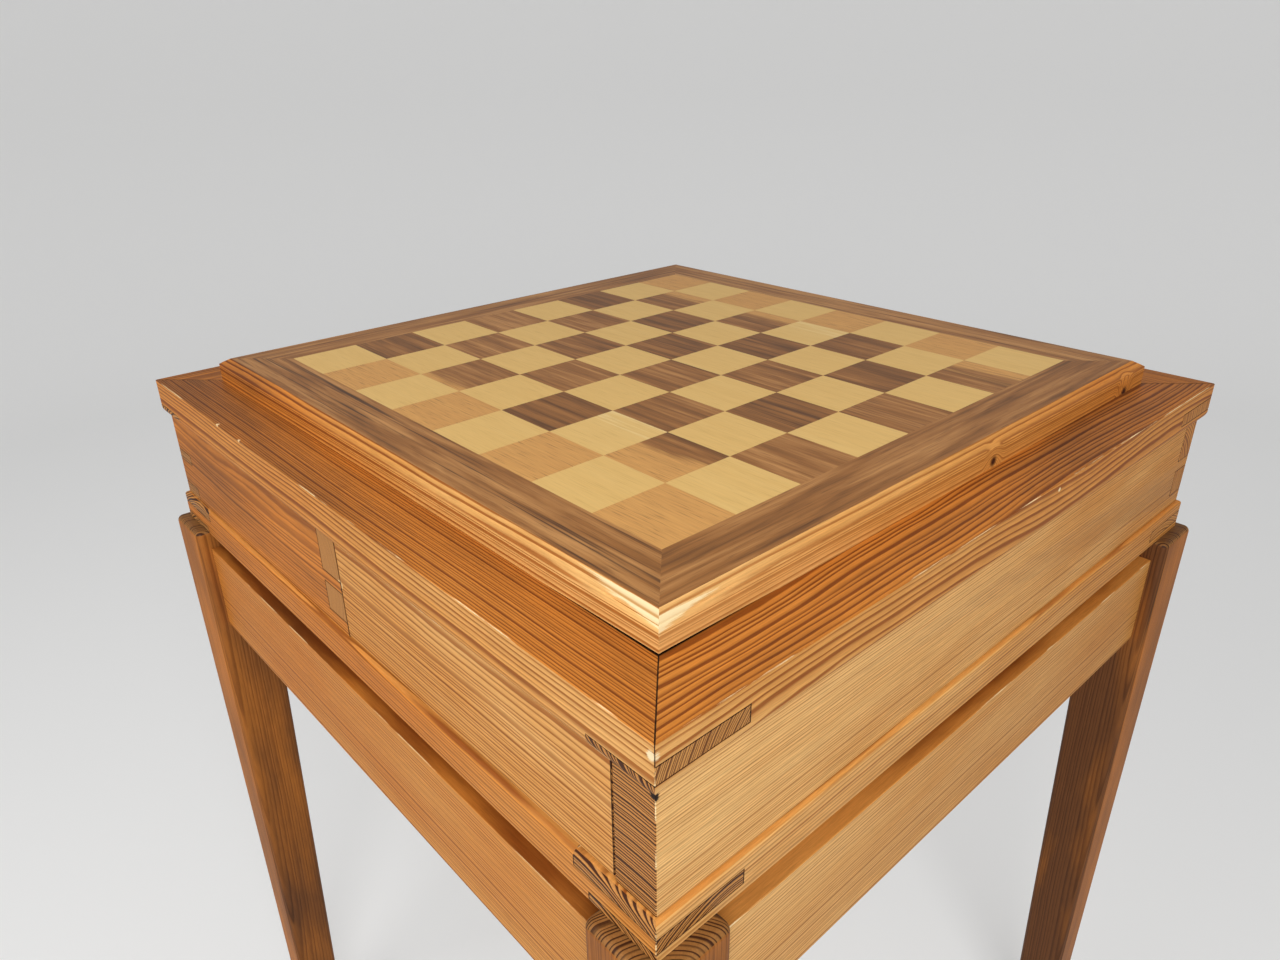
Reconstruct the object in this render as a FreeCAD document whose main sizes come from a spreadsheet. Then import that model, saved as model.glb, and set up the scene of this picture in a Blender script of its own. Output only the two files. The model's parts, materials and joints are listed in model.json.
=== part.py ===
import FreeCAD, Part
import os
import re

import Sketcher

# Chess table: a loose chess board on a shallow case with two drawers, on a stand of four
# tapered legs. Millimetres, +Z up, with the origin on the floor under the middle of the table.
# The front is the -Y side, and "right" is +X. Every piece is described where it would be on the
# front side and then turned to its own side by quarter turns about the upright axis.

doc = FreeCAD.newDocument("ChessTable")

# ---------------------------------------------------------------- driving dimensions

DIMENSIONS = (
    ("table_height", 740, "floor to the top of the board"),
    ("square_size", 50, "side of one square of the playing field"),
    ("border_width", 34, "walnut border round the playing field"),
    ("edging_width", 7, "pine edging round the border"),
    ("edging_fall", 4, "slope of the edging's top, from the border outwards"),
    ("board_thickness", 17, "whole board panel"),
    ("inlay_thickness", 3, "squares and border, laid on the core"),
    ("board_bearing", 15, "board panel resting on the top frame"),
    ("cleat_length", 300, "cleats that keep the board in place"),
    ("cleat_width", 12, "cleat, across"),
    ("cleat_height", 12, "cleat, up and down"),
    ("cleat_clearance", 1.2, "cleats to the opening of the top frame"),
    ("ledge_width", 37, "top frame seen round the board"),
    ("frame_thickness", 28, "top frame"),
    ("frame_top_cheek", 10.5, "mitred layer of the top frame's corner joint"),
    ("frame_low_cheek", 8.5, "layer under the tenon of that joint"),
    ("frame_rebate", 12, "rebate under the inner edge of the top frame, across"),
    ("frame_round", 7, "rounded lower arris of the top frame"),
    ("frame_overhang", 4, "top frame beyond the case"),
    ("case_height", 66, "webs, panels and drawer openings"),
    ("web_thickness", 25, "right and left webs"),
    ("panel_thickness", 20, "front and rear panels and drawer faces"),
    ("partition_thickness", 23, "board between the two drawers"),
    ("partition_offset", 5.5, "middle of the partition to the left of the middle of the front"),
    ("finger_shoulder", 10, "wood below the lower finger of a joint"),
    ("low_finger", 20, "lower finger"),
    ("finger_space", 8, "wood between the two fingers"),
    ("sheet_thickness", 4, "plywood under the board and under the drawers"),
    ("sheet_clearance", 0.5, "plywood to the boards round it"),
    ("lip", 3, "bottom frame beyond the case"),
    ("lip_round", 3, "rounded upper arris of the bottom frame"),
    ("low_member", 53, "width of a bottom frame member"),
    ("low_frame_thickness", 22, "bottom frame"),
    ("low_top_cheek", 8.5, "layer over the tenon of the bottom frame's corner joint"),
    ("low_low_cheek", 5, "layer under it"),
    ("low_rebate", 10, "rebate under the inner edge of the bottom frame, across"),
    ("rail_width", 50, "centre rail under the partition"),
    ("rail_tenon_width", 30, "tenons of the centre rail"),
    ("rail_tenon_length", 12, "tenons of the centre rail"),
    ("leg_proud", 9, "leg beyond the bottom frame"),
    ("leg_size", 47, "square leg above the taper"),
    ("leg_foot", 34, "square leg at the floor"),
    ("leg_round", 5, "rounded upright arrises of a leg"),
    ("leg_top_round", 4, "rounded top arrises of a leg"),
    ("apron_gap", 16, "air between bottom frame and apron"),
    ("apron_height", 71, "apron"),
    ("apron_thickness", 20, "apron"),
    ("tenon_cheek", 5.5, "outer face of an apron to its tenon"),
    ("tenon_thickness", 9, "apron tenon"),
    ("tenon_shoulder", 8, "apron above and below its tenon"),
    ("tenon_spacing", 1.5, "end of one tenon to the side of the next"),
    ("mortise_clearance", 0.5, "end of a tenon to the bottom of its mortise"),
    ("drawer_gap", 0.8, "round a drawer face"),
    ("finger_gap", 2, "under a drawer face"),
    ("drawer_room", 30, "case behind a closed drawer"),
    ("drawer_side", 10, "drawer sides and back"),
    ("drawer_drop", 6, "drawer sides below the top of the case"),
    ("drawer_lap", 12, "drawer side let into the drawer face"),
    ("drawer_rise", 0.3, "drawer above the frame it runs on"),
    ("groove_depth", 4, "grooves and housings in the drawer"),
    ("groove_rise", 5, "groove above the lower edge of a drawer side"),
    ("bottom_thickness", 4, "drawer bottom"),
    ("back_inset", 5, "drawer back before the ends of the sides"),
    ("stop_length", 14, "drawer stops, front to back"),
    ("stop_width", 12, "drawer stops, across"),
    ("stop_height", 8, "drawer stops, up and down"),
    ("stop_clearance", 0.4, "closed drawer to its stops"),
    ("dowel_radius", 6, "dowels between legs and bottom frame"),
    ("dowel_clearance", 0.15, "dowel to its hole"),
    ("dowel_over_tenon", 3, "wood between a dowel and the mortises"),
    ("dowel_cover", 5, "wood over a dowel in the bottom frame"),
    ("screw_radius", 2.2, "shank of a case screw"),
    ("screw_length", 42, "case screw"),
    ("screw_head_radius", 4.4, "countersunk head"),
    ("screw_head_height", 2.8, "countersunk head"),
    ("screw_recess", 0.5, "head below the face of the bottom frame"),
    ("screw_clearance", 0.1, "screw to its bore"),
    ("screw_slot", 0.9, "width and depth of the slot"),
    ("web_screw_inset", 150, "screw to the end of a web"),
    ("panel_screw_inset", 60, "screw to the end of a panel"),
)
ALIASES = {alias for alias, value, meaning in DIMENSIONS}
WORD = re.compile(r"[a-z][a-z_]*")

sheet = doc.addObject("Spreadsheet::Sheet", "Dims")
for row, (alias, value, meaning) in enumerate(DIMENSIONS, start=1):
    sheet.set(f"A{row}", alias)
    sheet.set(f"B{row}", str(value))
    sheet.set(f"C{row}", meaning)
    sheet.setAlias(f"B{row}", alias)
doc.recompute()


def formula(text):
    """Turn words such as leg_size into references to the spreadsheet's cells."""
    return WORD.sub(lambda word: f"Dims.{word[0]}" if word[0] in ALIASES else word[0], text)


def minus(text):
    return f"-({text})"


# Half sizes in plan, from the middle of the table outwards.
FIELD = "(4 * square_size)"
CORE = f"({FIELD} + border_width)"
BOARD = f"({CORE} + edging_width)"
OPENING = f"({BOARD} - board_bearing)"
REBATE = f"({OPENING} + frame_rebate)"
FRAME = f"({BOARD} + ledge_width)"
CASE = f"({FRAME} - frame_overhang)"
INSIDE_X = f"({CASE} - web_thickness)"
INSIDE_Y = f"({CASE} - panel_thickness)"
LOW = f"({CASE} + lip)"
LOW_OPENING = f"({LOW} - low_member)"
LOW_REBATE = f"({LOW_OPENING} + low_rebate)"
STAND = f"({LOW} + leg_proud)"
LEG_INSIDE = f"({STAND} - leg_size)"
LEG_MIDDLE = f"({STAND} - leg_size / 2)"

# Levels, from the board down to the floor.
TOP = "table_height"
INLAY = f"({TOP} - inlay_thickness)"
LEDGE = f"({TOP} - board_thickness)"
CASE_TOP = f"({LEDGE} - frame_thickness)"
CASE_BOTTOM = f"({CASE_TOP} - case_height)"
LEG_TOP = f"({CASE_BOTTOM} - low_frame_thickness)"
APRON_TOP = f"({LEG_TOP} - apron_gap)"
APRON_BOTTOM = f"({APRON_TOP} - apron_height)"

# The four sides, each a quarter turn from the one before it.
SIDES = ("front", "right", "rear", "left")
ENDS = SIDES[0::2]
FLANKS = SIDES[1::2]

nodes = []

# ---------------------------------------------------------------- helpers


def keep(item, label):
    """Make an object a sub-part of the table. Its label names its file."""
    item.Label = label
    nodes.append(item)
    return item


def rotation(side):
    """The turn from the front side to another side."""
    upward = FreeCAD.Vector(0, 0, 1)
    turn = FreeCAD.Rotation(upward, 90 * SIDES.index(side))
    return FreeCAD.Placement(FreeCAD.Vector(), turn)


def turned(x, y, side):
    """A place on the front side, turned to another side."""
    places = ((x, y), (minus(y), x), (minus(x), minus(y)), (y, minus(x)))
    return places[SIDES.index(side)]


def put(item, x, y, z, side="front"):
    """Put an object's own origin at a place on the front side, then turn it to its own side."""
    item.Placement = rotation(side)
    for axis, place in zip("xyz", (*turned(x, y, side), z)):
        item.setExpression(f"Placement.Base.{axis}", formula(place))
    return item


def block(name, x, y, z, side="front"):
    """A rectangular block, given by its two ends along each axis."""
    item = doc.addObject("Part::Box", name)
    for size, (low, high) in zip(("Length", "Width", "Height"), (x, y, z)):
        item.setExpression(size, formula(f"({high}) - ({low})"))
    return put(item, x[0], y[0], z[0], side)


def upright(name, radius, x, y, z, side="front"):
    """An upright cylinder between two levels."""
    item = doc.addObject("Part::Cylinder", name)
    item.setExpression("Radius", formula(radius))
    item.setExpression("Height", formula(f"({z[1]}) - ({z[0]})"))
    return put(item, x, y, z[0], side)


def mitred_strip(name, outer, inner, z, side="front"):
    """One side of a square frame, cut to mitres at both ends."""
    item = doc.addObject("Part::Wedge", name)
    sizes = {
        "Ymin": minus(outer), "Xmin": minus(outer), "Xmax": outer, "Zmin": z[0], "Zmax": z[1],
        "Ymax": minus(inner), "X2min": minus(inner), "X2max": inner, "Z2min": z[0], "Z2max": z[1],
    }
    for size, text in sizes.items():
        item.setExpression(size, formula(text))
    item.Placement = rotation(side)
    return item


def frustum(name, low, high, z):
    """A square pyramid without its tip, given by its half widths at two levels."""
    item = doc.addObject("Part::Wedge", name)
    sizes = {
        "Ymin": z[0], "Xmin": minus(low), "Xmax": low, "Zmin": minus(low), "Zmax": low,
        "Ymax": z[1], "X2min": minus(high), "X2max": high, "Z2min": minus(high), "Z2max": high,
    }
    for size, text in sizes.items():
        item.setExpression(size, formula(text))
    upwards = FreeCAD.Rotation(FreeCAD.Vector(0, 1, 0), FreeCAD.Vector(0, 0, 1))
    item.Placement = FreeCAD.Placement(FreeCAD.Vector(), upwards)
    return item


def group(name, *items):
    """Separate solids that share one object."""
    result = doc.addObject("Part::Compound", name)
    result.Links = list(items)
    return result


def fuse(name, *items):
    result = doc.addObject("Part::MultiFuse", name)
    result.Shapes = list(items)
    result.Refine = True
    return result


def common(name, *items):
    result = doc.addObject("Part::MultiCommon", name)
    result.Shapes = list(items)
    result.Refine = True
    return result


def cut(name, base, *tools):
    result = doc.addObject("Part::Cut", name)
    result.Base = base
    result.Tool = tools[0] if len(tools) == 1 else group(f"{name}_tools", *tools)
    result.Refine = True
    return result


def new_sketch(body, name, level):
    """An empty level sketch on the body's own XY plane, raised to a level."""
    sketch = body.newObject("Sketcher::SketchObject", name)
    plane = next(item for item in body.Origin.OriginFeatures if item.Role == "XY_Plane")
    sketch.AttachmentSupport = [(plane, "")]
    sketch.MapMode = "FlatFace"
    sketch.setExpression("AttachmentOffset.Base.z", formula(level))
    return sketch


def size_constraint(sketch, name, kind, points, text):
    """Add a dimension that follows the spreadsheet, starting at the size as it is drawn."""
    drawn = {"DistanceX": 40, "DistanceY": 40, "Radius": 4}[kind]
    number = sketch.addConstraint(Sketcher.Constraint(kind, *points, drawn))
    sketch.renameConstraint(number, name)
    sketch.setExpression(f"Constraints.{name}", formula(text))


def square_sketch(body, name, size, level):
    """A square with one corner on the origin."""
    sketch = new_sketch(body, name, level)
    corners = [FreeCAD.Vector(x, y) for x, y in ((0, 0), (40, 0), (40, 40), (0, 40))]
    for start, end in zip(corners, corners[1:] + corners[:1]):
        sketch.addGeometry(Part.LineSegment(start, end))
    for line in range(4):
        sketch.addConstraint(Sketcher.Constraint("Coincident", line, 2, (line + 1) % 4, 1))
        sketch.addConstraint(Sketcher.Constraint(("Horizontal", "Vertical")[line % 2], line))
    sketch.addConstraint(Sketcher.Constraint("Coincident", 0, 1, -1, 1))
    size_constraint(sketch, "width", "DistanceX", (0, 1, 0, 2), size)
    size_constraint(sketch, "depth", "DistanceY", (1, 1, 1, 2), size)
    return sketch


def rounded_square_sketch(body, name, size, radius, level):
    """A square with rounded corners, two sides of which lie on the axes."""
    sketch = new_sketch(body, name, level)
    sides = (((4, 0), (36, 0)), ((40, 4), (40, 36)), ((36, 40), (4, 40)), ((0, 36), (0, 4)))
    for start, end in sides:
        sketch.addGeometry(Part.LineSegment(FreeCAD.Vector(*start), FreeCAD.Vector(*end)))
    upward = FreeCAD.Vector(0, 0, 1)
    quarter = FreeCAD.Units.Quantity("90 deg").getValueAs("rad").Value
    for number, centre in enumerate(((36, 4), (36, 36), (4, 36), (4, 4)), start=-1):
        circle = Part.Circle(FreeCAD.Vector(*centre), upward, 4)
        sketch.addGeometry(Part.ArcOfCircle(circle, number * quarter, (number + 1) * quarter))
    for line in range(4):
        arc = line + 4
        sketch.addConstraint(Sketcher.Constraint("Tangent", line, 2, arc, 1))
        sketch.addConstraint(Sketcher.Constraint("Tangent", arc, 2, (line + 1) % 4, 1))
        sketch.addConstraint(Sketcher.Constraint(("Horizontal", "Vertical")[line % 2], line))
    for arc in (5, 6, 7):
        sketch.addConstraint(Sketcher.Constraint("Equal", 4, arc))
    sketch.addConstraint(Sketcher.Constraint("PointOnObject", 0, 1, -1))
    sketch.addConstraint(Sketcher.Constraint("PointOnObject", 3, 1, -2))
    size_constraint(sketch, "width", "DistanceX", (3, 1, 1, 1), size)
    size_constraint(sketch, "depth", "DistanceY", (0, 1, 2, 1), size)
    size_constraint(sketch, "radius", "Radius", (4,), radius)
    return sketch


def pad(body, name, sketch, length):
    feature = body.newObject("PartDesign::Pad", name)
    feature.Profile = sketch
    feature.setExpression("Length", formula(length))
    return feature


def round_level_edges(body, name, base, level, radius):
    """Round the edges of a feature that lie in its lowest or highest face."""
    doc.recompute()
    height = getattr(base.Shape.BoundBox, level)
    edges = [
        f"Edge{number}"
        for number, edge in enumerate(base.Shape.Edges, start=1)
        if all(abs(vertex.Z - height) < 0.001 for vertex in edge.Vertexes)
    ]
    rounding = body.newObject("PartDesign::Fillet", name)
    rounding.Base = (base, edges)
    rounding.setExpression("Radius", formula(radius))
    body.Tip = rounding


def slab(name, half, low, high, level, radius):
    """A square slab round the upright axis, with its lowest or highest arrises rounded."""
    body = doc.addObject("PartDesign::Body", name)
    plan = square_sketch(body, f"{name}_plan", f"2 * {half}", "0")
    thickness = pad(body, f"{name}_pad", plan, f"{high} - {low}")
    round_level_edges(body, f"{name}_rounding", thickness, level, radius)
    return put(body, minus(half), minus(half), low)


def fingers(name, x, y, side="front"):
    """The two fingers at the end of a case board, or the sockets for them."""
    low = f"({CASE_BOTTOM} + finger_shoulder)"
    reaches = ((low, f"{low} + low_finger"), (f"{low} + low_finger + finger_space", CASE_TOP))
    return [block(f"{name}_{number}", x, y, reach, side) for number, reach in enumerate(reaches)]


def about_partition(width, side="front"):
    """A width laid evenly about the partition, as it is seen from one end of the table."""
    middle = {"front": "-partition_offset", "rear": "partition_offset"}[side]
    return f"({middle} - {width} / 2)", f"({middle} + {width} / 2)"


# ---------------------------------------------------------------- board panel

ACROSS_CORE = (minus(CORE), CORE)
keep(block("Core", ACROSS_CORE, ACROSS_CORE, (LEDGE, INLAY)), "board_core")

tiles = ([], [])
for column in range(8):
    for row in range(8):
        x, y = [(f"{place - 4} * square_size", f"{place - 3} * square_size") for place in (column, row)]
        tiles[(column + row) % 2].append(block(f"Square_{column}_{row}", x, y, (INLAY, TOP)))
keep(group("Light_Squares", *tiles[0]), "light_squares")
keep(group("Dark_Squares", *tiles[1]), "dark_squares")

SLOPE_FOOT = f"({TOP} - edging_fall)"
ACROSS_BOARD = (minus(BOARD), BOARD)
board_lower = block("Board_Lower_Outline", ACROSS_BOARD, ACROSS_BOARD, (LEDGE, SLOPE_FOOT))
board_upper = frustum("Board_Upper_Outline", BOARD, CORE, (SLOPE_FOOT, TOP))
board_outline = fuse("Board_Outline", board_lower, board_upper)
for side in SIDES:
    keep(mitred_strip(f"Border_{side}", CORE, FIELD, (INLAY, TOP), side), f"border_{side}")
    strip = mitred_strip(f"Edging_Strip_{side}", BOARD, CORE, (LEDGE, TOP), side)
    keep(common(f"Edging_{side}", strip, board_outline), f"edging_{side}")

CLEAT_FACE = f"({OPENING} - cleat_clearance)"
cleats = [
    block(
        f"Cleat_{side}",
        ("-cleat_length / 2", "cleat_length / 2"),
        (minus(CLEAT_FACE), f"cleat_width - {CLEAT_FACE}"),
        (f"{LEDGE} - cleat_height", LEDGE),
        side,
    )
    for side in SIDES
]
keep(group("Cleats", *cleats), "board_cleats")

# ---------------------------------------------------------------- case screws and leg dowels

PANEL_LINE = f"({CASE} - panel_thickness / 2)"
WEB_LINE = f"({CASE} - web_thickness / 2)"
WEB_SCREWS = (f"web_screw_inset - {CASE}", f"{CASE} - web_screw_inset")
SCREW_LOW = f"({LEG_TOP} + screw_recess)"


def screw_form(name, x, y, side, clearance):
    """Head and shank of an upright countersunk screw with its head at the bottom."""
    head = put(doc.addObject("Part::Cone", f"{name}_head"), x, y, SCREW_LOW, side)
    head.setExpression("Radius1", formula(f"screw_head_radius + {clearance}"))
    head.setExpression("Radius2", formula(f"screw_radius + {clearance}"))
    head.setExpression("Height", formula("screw_head_height"))
    reach = (SCREW_LOW, f"{SCREW_LOW} + screw_length + {clearance}")
    return head, upright(f"{name}_shank", f"screw_radius + {clearance}", x, y, reach, side)


screws = []
bores = {}
for side in SIDES:
    places, line = WEB_SCREWS, WEB_LINE
    if side in ENDS:
        panel_end = about_partition("partition_thickness", side)[1]
        places = (f"panel_screw_inset - {INSIDE_X}", f"{panel_end} - panel_screw_inset")
        line = PANEL_LINE
    bores[side] = []
    for number, x in enumerate(places):
        name = f"{side.title()}_Screw_{number}"
        y = minus(line)
        blank = fuse(f"{name}_blank", *screw_form(name, x, y, side, "0"))
        slot_x = (f"{x} - screw_head_radius", f"{x} + screw_head_radius")
        slot_y = (f"{y} - screw_slot / 2", f"{y} + screw_slot / 2")
        slot = block(f"{name}_slot", slot_x, slot_y, (SCREW_LOW, f"{SCREW_LOW} + screw_slot"), side)
        screws.append(cut(name, blank, slot))
        bore = screw_form(f"{name}_bore", x, y, side, "screw_clearance")
        mouth_radius = "screw_head_radius + screw_clearance"
        mouth = upright(f"{name}_mouth", mouth_radius, x, y, (LEG_TOP, SCREW_LOW), side)
        bores[side].append(fuse(f"{name}_bore", *bore, mouth))
keep(group("Case_Screws", *screws), "case_screws")

DOWEL_LOW = f"({APRON_TOP} - tenon_shoulder + dowel_over_tenon)"
DOWEL_HIGH = f"({CASE_BOTTOM} - dowel_cover)"
dowels = []
dowel_holes = []
for side in SIDES:
    x = y = minus(LEG_MIDDLE)
    hole = (f"{DOWEL_LOW} - dowel_clearance", f"{DOWEL_HIGH} + dowel_clearance")
    hole_radius = "dowel_radius + dowel_clearance"
    dowels.append(upright(f"Dowel_{side}", "dowel_radius", x, y, (DOWEL_LOW, DOWEL_HIGH), side))
    dowel_holes.append(upright(f"Dowel_Hole_{side}", hole_radius, x, y, hole, side))
keep(group("Leg_Dowels", *dowels), "leg_dowels")

# ---------------------------------------------------------------- top and bottom frames


# Both frames are rebated under their inner edge, so the lowest layer of a member is narrower than
# the others, and the shoulder below a tenon is longer than the one above it.


def frame_layers(name, outer, inner, levels, reach, side):
    """The layers of a frame member, each with its own width and length, for the corner joints."""
    return [
        block(
            f"{name}_layer_{number}",
            (minus(half), half),
            (minus(outer), minus(edge)),
            levels[number:number + 2],
            side,
        )
        for number, (half, edge) in enumerate(zip(reach, inner))
    ]


TOP_LEVELS = (CASE_TOP, f"{CASE_TOP} + frame_low_cheek", f"{LEDGE} - frame_top_cheek", LEDGE)
top_outline = slab("Top_Outline", FRAME, CASE_TOP, LEDGE, "ZMin", "frame_round")
for side in SIDES:
    name = f"Top_{side}"
    reach = (REBATE, FRAME) if side in ENDS else (FRAME, OPENING)
    layers = frame_layers(name, FRAME, (REBATE, OPENING), TOP_LEVELS, reach, side)
    cheek = mitred_strip(f"{name}_cheek", FRAME, OPENING, TOP_LEVELS[2:], side)
    blank = fuse(f"{name}_blank", *layers, cheek)
    keep(common(f"{name}_member", blank, top_outline), f"top_frame_{side}")

ACROSS_DUST_PANEL = (f"sheet_clearance - {REBATE}", f"{REBATE} - sheet_clearance")
DUST_PANEL_LEVELS = (f"{TOP_LEVELS[1]} - sheet_thickness", TOP_LEVELS[1])
keep(block("Dust_Panel", ACROSS_DUST_PANEL, ACROSS_DUST_PANEL, DUST_PANEL_LEVELS), "dust_panel")

LOW_LEVELS = (LEG_TOP, f"{LEG_TOP} + low_low_cheek", f"{CASE_BOTTOM} - low_top_cheek", CASE_BOTTOM)
LOW_INNER = (LOW_REBATE, LOW_OPENING, LOW_OPENING)
low_outline = slab("Low_Outline", LOW, LEG_TOP, CASE_BOTTOM, "ZMax", "lip_round")
for side in SIDES:
    name = f"Low_{side}"
    holes = [*dowel_holes, *bores[side]]
    reach = (LOW, LOW_OPENING, LOW)
    if side in ENDS:
        reach = (LOW_REBATE, LOW, LOW_OPENING)
        across = about_partition("rail_tenon_width", side)
        depth = (f"-{LOW_OPENING} - rail_tenon_length - mortise_clearance", minus(LOW_OPENING))
        holes.append(block(f"{name}_mortise", across, depth, LOW_LEVELS[1:3], side))
    blank = fuse(f"{name}_blank", *frame_layers(name, LOW, LOW_INNER, LOW_LEVELS, reach, side))
    member = common(f"{name}_member", blank, low_outline)
    keep(cut(f"{name}_bored", member, *holes), f"bottom_frame_{side}")

RAIL_LENGTH = (minus(LOW_OPENING), LOW_OPENING)
RAIL_REACH = f"({LOW_OPENING} + rail_tenon_length)"
rail = block("Rail", about_partition("rail_width"), RAIL_LENGTH, (LEG_TOP, CASE_BOTTOM))
rail_tenons = block(
    "Rail_Tenons",
    about_partition("rail_tenon_width"),
    (minus(RAIL_REACH), RAIL_REACH),
    LOW_LEVELS[1:3],
)
keep(fuse("Centre_Rail", rail, rail_tenons), "centre_rail")

# ---------------------------------------------------------------- case

CASE_LEVELS = (CASE_BOTTOM, CASE_TOP)
ACROSS_CASE = (minus(CASE), CASE)

for side in FLANKS:
    name = f"Web_{side}"
    depth = (minus(CASE), minus(INSIDE_X))
    blank = block(f"{name}_blank", ACROSS_CASE, depth, CASE_LEVELS, side)
    sockets = fingers(f"{name}_socket", (INSIDE_Y, CASE), depth, side)
    keep(cut(name, blank, *sockets, *bores[side]), f"{side}_web")

for side in ENDS:
    name = f"Panel_{side}"
    across = about_partition("partition_thickness", side)
    depth = (minus(CASE), minus(INSIDE_Y))
    blank = block(f"{name}_blank", (minus(INSIDE_X), across[1]), depth, CASE_LEVELS, side)
    ends = fingers(f"{name}_finger", (minus(CASE), minus(INSIDE_X)), depth, side)
    sockets = fingers(f"{name}_socket", across, depth, side)
    whole = fuse(f"{name}_whole", blank, *ends)
    keep(cut(name, whole, *sockets, *bores[side]), f"{side}_panel")

INSIDE_LENGTH = (minus(INSIDE_Y), INSIDE_Y)
partition = [
    block("Partition_Board", about_partition("partition_thickness"), INSIDE_LENGTH, CASE_LEVELS)
]
for side in ENDS:
    across = about_partition("partition_thickness", side)
    partition += fingers(f"Partition_{side}_finger", across, (minus(CASE), minus(INSIDE_Y)), side)
keep(fuse("Partition", *partition), "partition")

# ---------------------------------------------------------------- drawers and what is under them

# The drawers run on the bottom frame and its centre rail. The floors only keep dust out.
DRAWER_RIGHT = f"({INSIDE_X} - drawer_gap)"
DRAWER_END = f"({INSIDE_Y} - drawer_room)"
SIDE_LOW = f"({CASE_BOTTOM} + drawer_rise)"
SIDE_TOP = f"({CASE_TOP} - drawer_drop)"
GROOVE_LOW = f"({SIDE_LOW} + groove_rise)"
GROOVE_TOP = f"({GROOVE_LOW} + bottom_thickness)"
BACK_END = f"({DRAWER_END} - back_inset)"

for side, flank in zip(ENDS, ("right", "left")):
    name = f"Drawer_{side}"
    drawer_left = f"({about_partition('partition_thickness', side)[1]} + drawer_gap)"
    housed = (
        f"{drawer_left} + drawer_side - groove_depth",
        f"{DRAWER_RIGHT} - drawer_side + groove_depth",
    )
    bottom_depth = (f"-{INSIDE_Y} - groove_depth", BACK_END)
    back_depth = (f"{BACK_END} - drawer_side", BACK_END)
    bottom = block(f"{name}_bottom", housed, bottom_depth, (GROOVE_LOW, GROOVE_TOP), side)
    back = block(f"{name}_back", housed, back_depth, (GROOVE_TOP, SIDE_TOP), side)
    flanks = {
        "left": (drawer_left, f"{drawer_left} + drawer_side"),
        "right": (f"{DRAWER_RIGHT} - drawer_side", DRAWER_RIGHT),
    }
    boards = []
    for hand, across in flanks.items():
        length = (f"-{INSIDE_Y} - drawer_lap", DRAWER_END)
        board = block(f"{name}_{hand}_board", across, length, (SIDE_LOW, SIDE_TOP), side)
        keep(cut(f"{name}_{hand}", board, bottom, back), f"{side}_drawer_{hand}_side")
        boards.append(board)
    face = block(
        f"{name}_face_board",
        (drawer_left, DRAWER_RIGHT),
        (minus(CASE), minus(INSIDE_Y)),
        (f"{CASE_BOTTOM} + finger_gap", f"{CASE_TOP} - drawer_gap"),
        side,
    )
    keep(cut(f"{name}_face", face, bottom, *boards), f"{side}_drawer_face")
    keep(bottom, f"{side}_drawer_bottom")
    keep(back, f"{side}_drawer_back")

    rail_edge = about_partition("rail_width", side)[1]
    floor = block(
        f"Floor_{side}",
        (f"{rail_edge} + sheet_clearance", f"{LOW_REBATE} - sheet_clearance"),
        (f"sheet_clearance - {LOW_REBATE}", f"{LOW_REBATE} - sheet_clearance"),
        (f"{LOW_LEVELS[1]} - sheet_thickness", LOW_LEVELS[1]),
        side,
    )
    keep(floor, f"{flank}_floor")
    stop_y = (f"{DRAWER_END} + stop_clearance", f"{DRAWER_END} + stop_clearance + stop_length")
    stop_z = (CASE_BOTTOM, f"{CASE_BOTTOM} + stop_height")
    stops = [
        block(f"Stop_{side}_left", (drawer_left, f"{drawer_left} + stop_width"), stop_y, stop_z, side),
        block(f"Stop_{side}_right", (f"{DRAWER_RIGHT} - stop_width", DRAWER_RIGHT), stop_y, stop_z, side),
    ]
    keep(group(f"Stops_{side}", *stops), f"{side}_drawer_stops")

# ---------------------------------------------------------------- stand

TENON_Y = (f"tenon_cheek - {LOW}", f"tenon_cheek + tenon_thickness - {LOW}")
TENON_Z = (f"{APRON_BOTTOM} + tenon_shoulder", f"{APRON_TOP} - tenon_shoulder")
TENON_REACH = f"({LOW} - tenon_cheek - tenon_thickness - tenon_spacing)"

for side in SIDES:
    name = f"Apron_{side}"
    board = block(
        f"{name}_board",
        (minus(LEG_INSIDE), LEG_INSIDE),
        (minus(LOW), f"apron_thickness - {LOW}"),
        (APRON_BOTTOM, APRON_TOP),
        side,
    )
    tenons = block(f"{name}_tenons", (minus(TENON_REACH), TENON_REACH), TENON_Y, TENON_Z, side)
    keep(fuse(name, board, tenons), f"apron_{side}")


def leg_blank(name, side):
    """A leg before its mortises: straight outer faces, inner faces tapered below the aprons."""
    body = doc.addObject("PartDesign::Body", name)
    foot = rounded_square_sketch(body, f"{name}_foot", "leg_foot", "leg_round", "0")
    knee = rounded_square_sketch(body, f"{name}_knee", "leg_size", "leg_round", APRON_BOTTOM)
    taper = body.newObject("PartDesign::AdditiveLoft", f"{name}_taper")
    taper.Profile = foot
    taper.Sections = [knee]
    taper.Ruled = True
    head = pad(body, f"{name}_head", knee, f"{LEG_TOP} - {APRON_BOTTOM}")
    # The top rounding stays a little smaller than the upright ones that it meets.
    round_level_edges(body, f"{name}_rounding", head, "ZMax", "min(leg_top_round; 0.9 * leg_round)")
    return put(body, minus(STAND), minus(STAND), "0", side)


MORTISE_END = f"({TENON_REACH} + mortise_clearance)"
for side, corner in zip(SIDES, ("front_left", "front_right", "rear_right", "rear_left")):
    name = f"Leg_{corner}"
    inwards = (minus(MORTISE_END), minus(LEG_INSIDE))
    mortises = [
        block(f"{name}_mortise_along", inwards, TENON_Y, TENON_Z, side),
        block(f"{name}_mortise_across", TENON_Y, inwards, TENON_Z, side),
    ]
    hole = dowel_holes[SIDES.index(side)]
    keep(cut(name, leg_blank(f"{name}_blank", side), *mortises, hole), f"leg_{corner}")

# ---------------------------------------------------------------- checks and files

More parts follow.
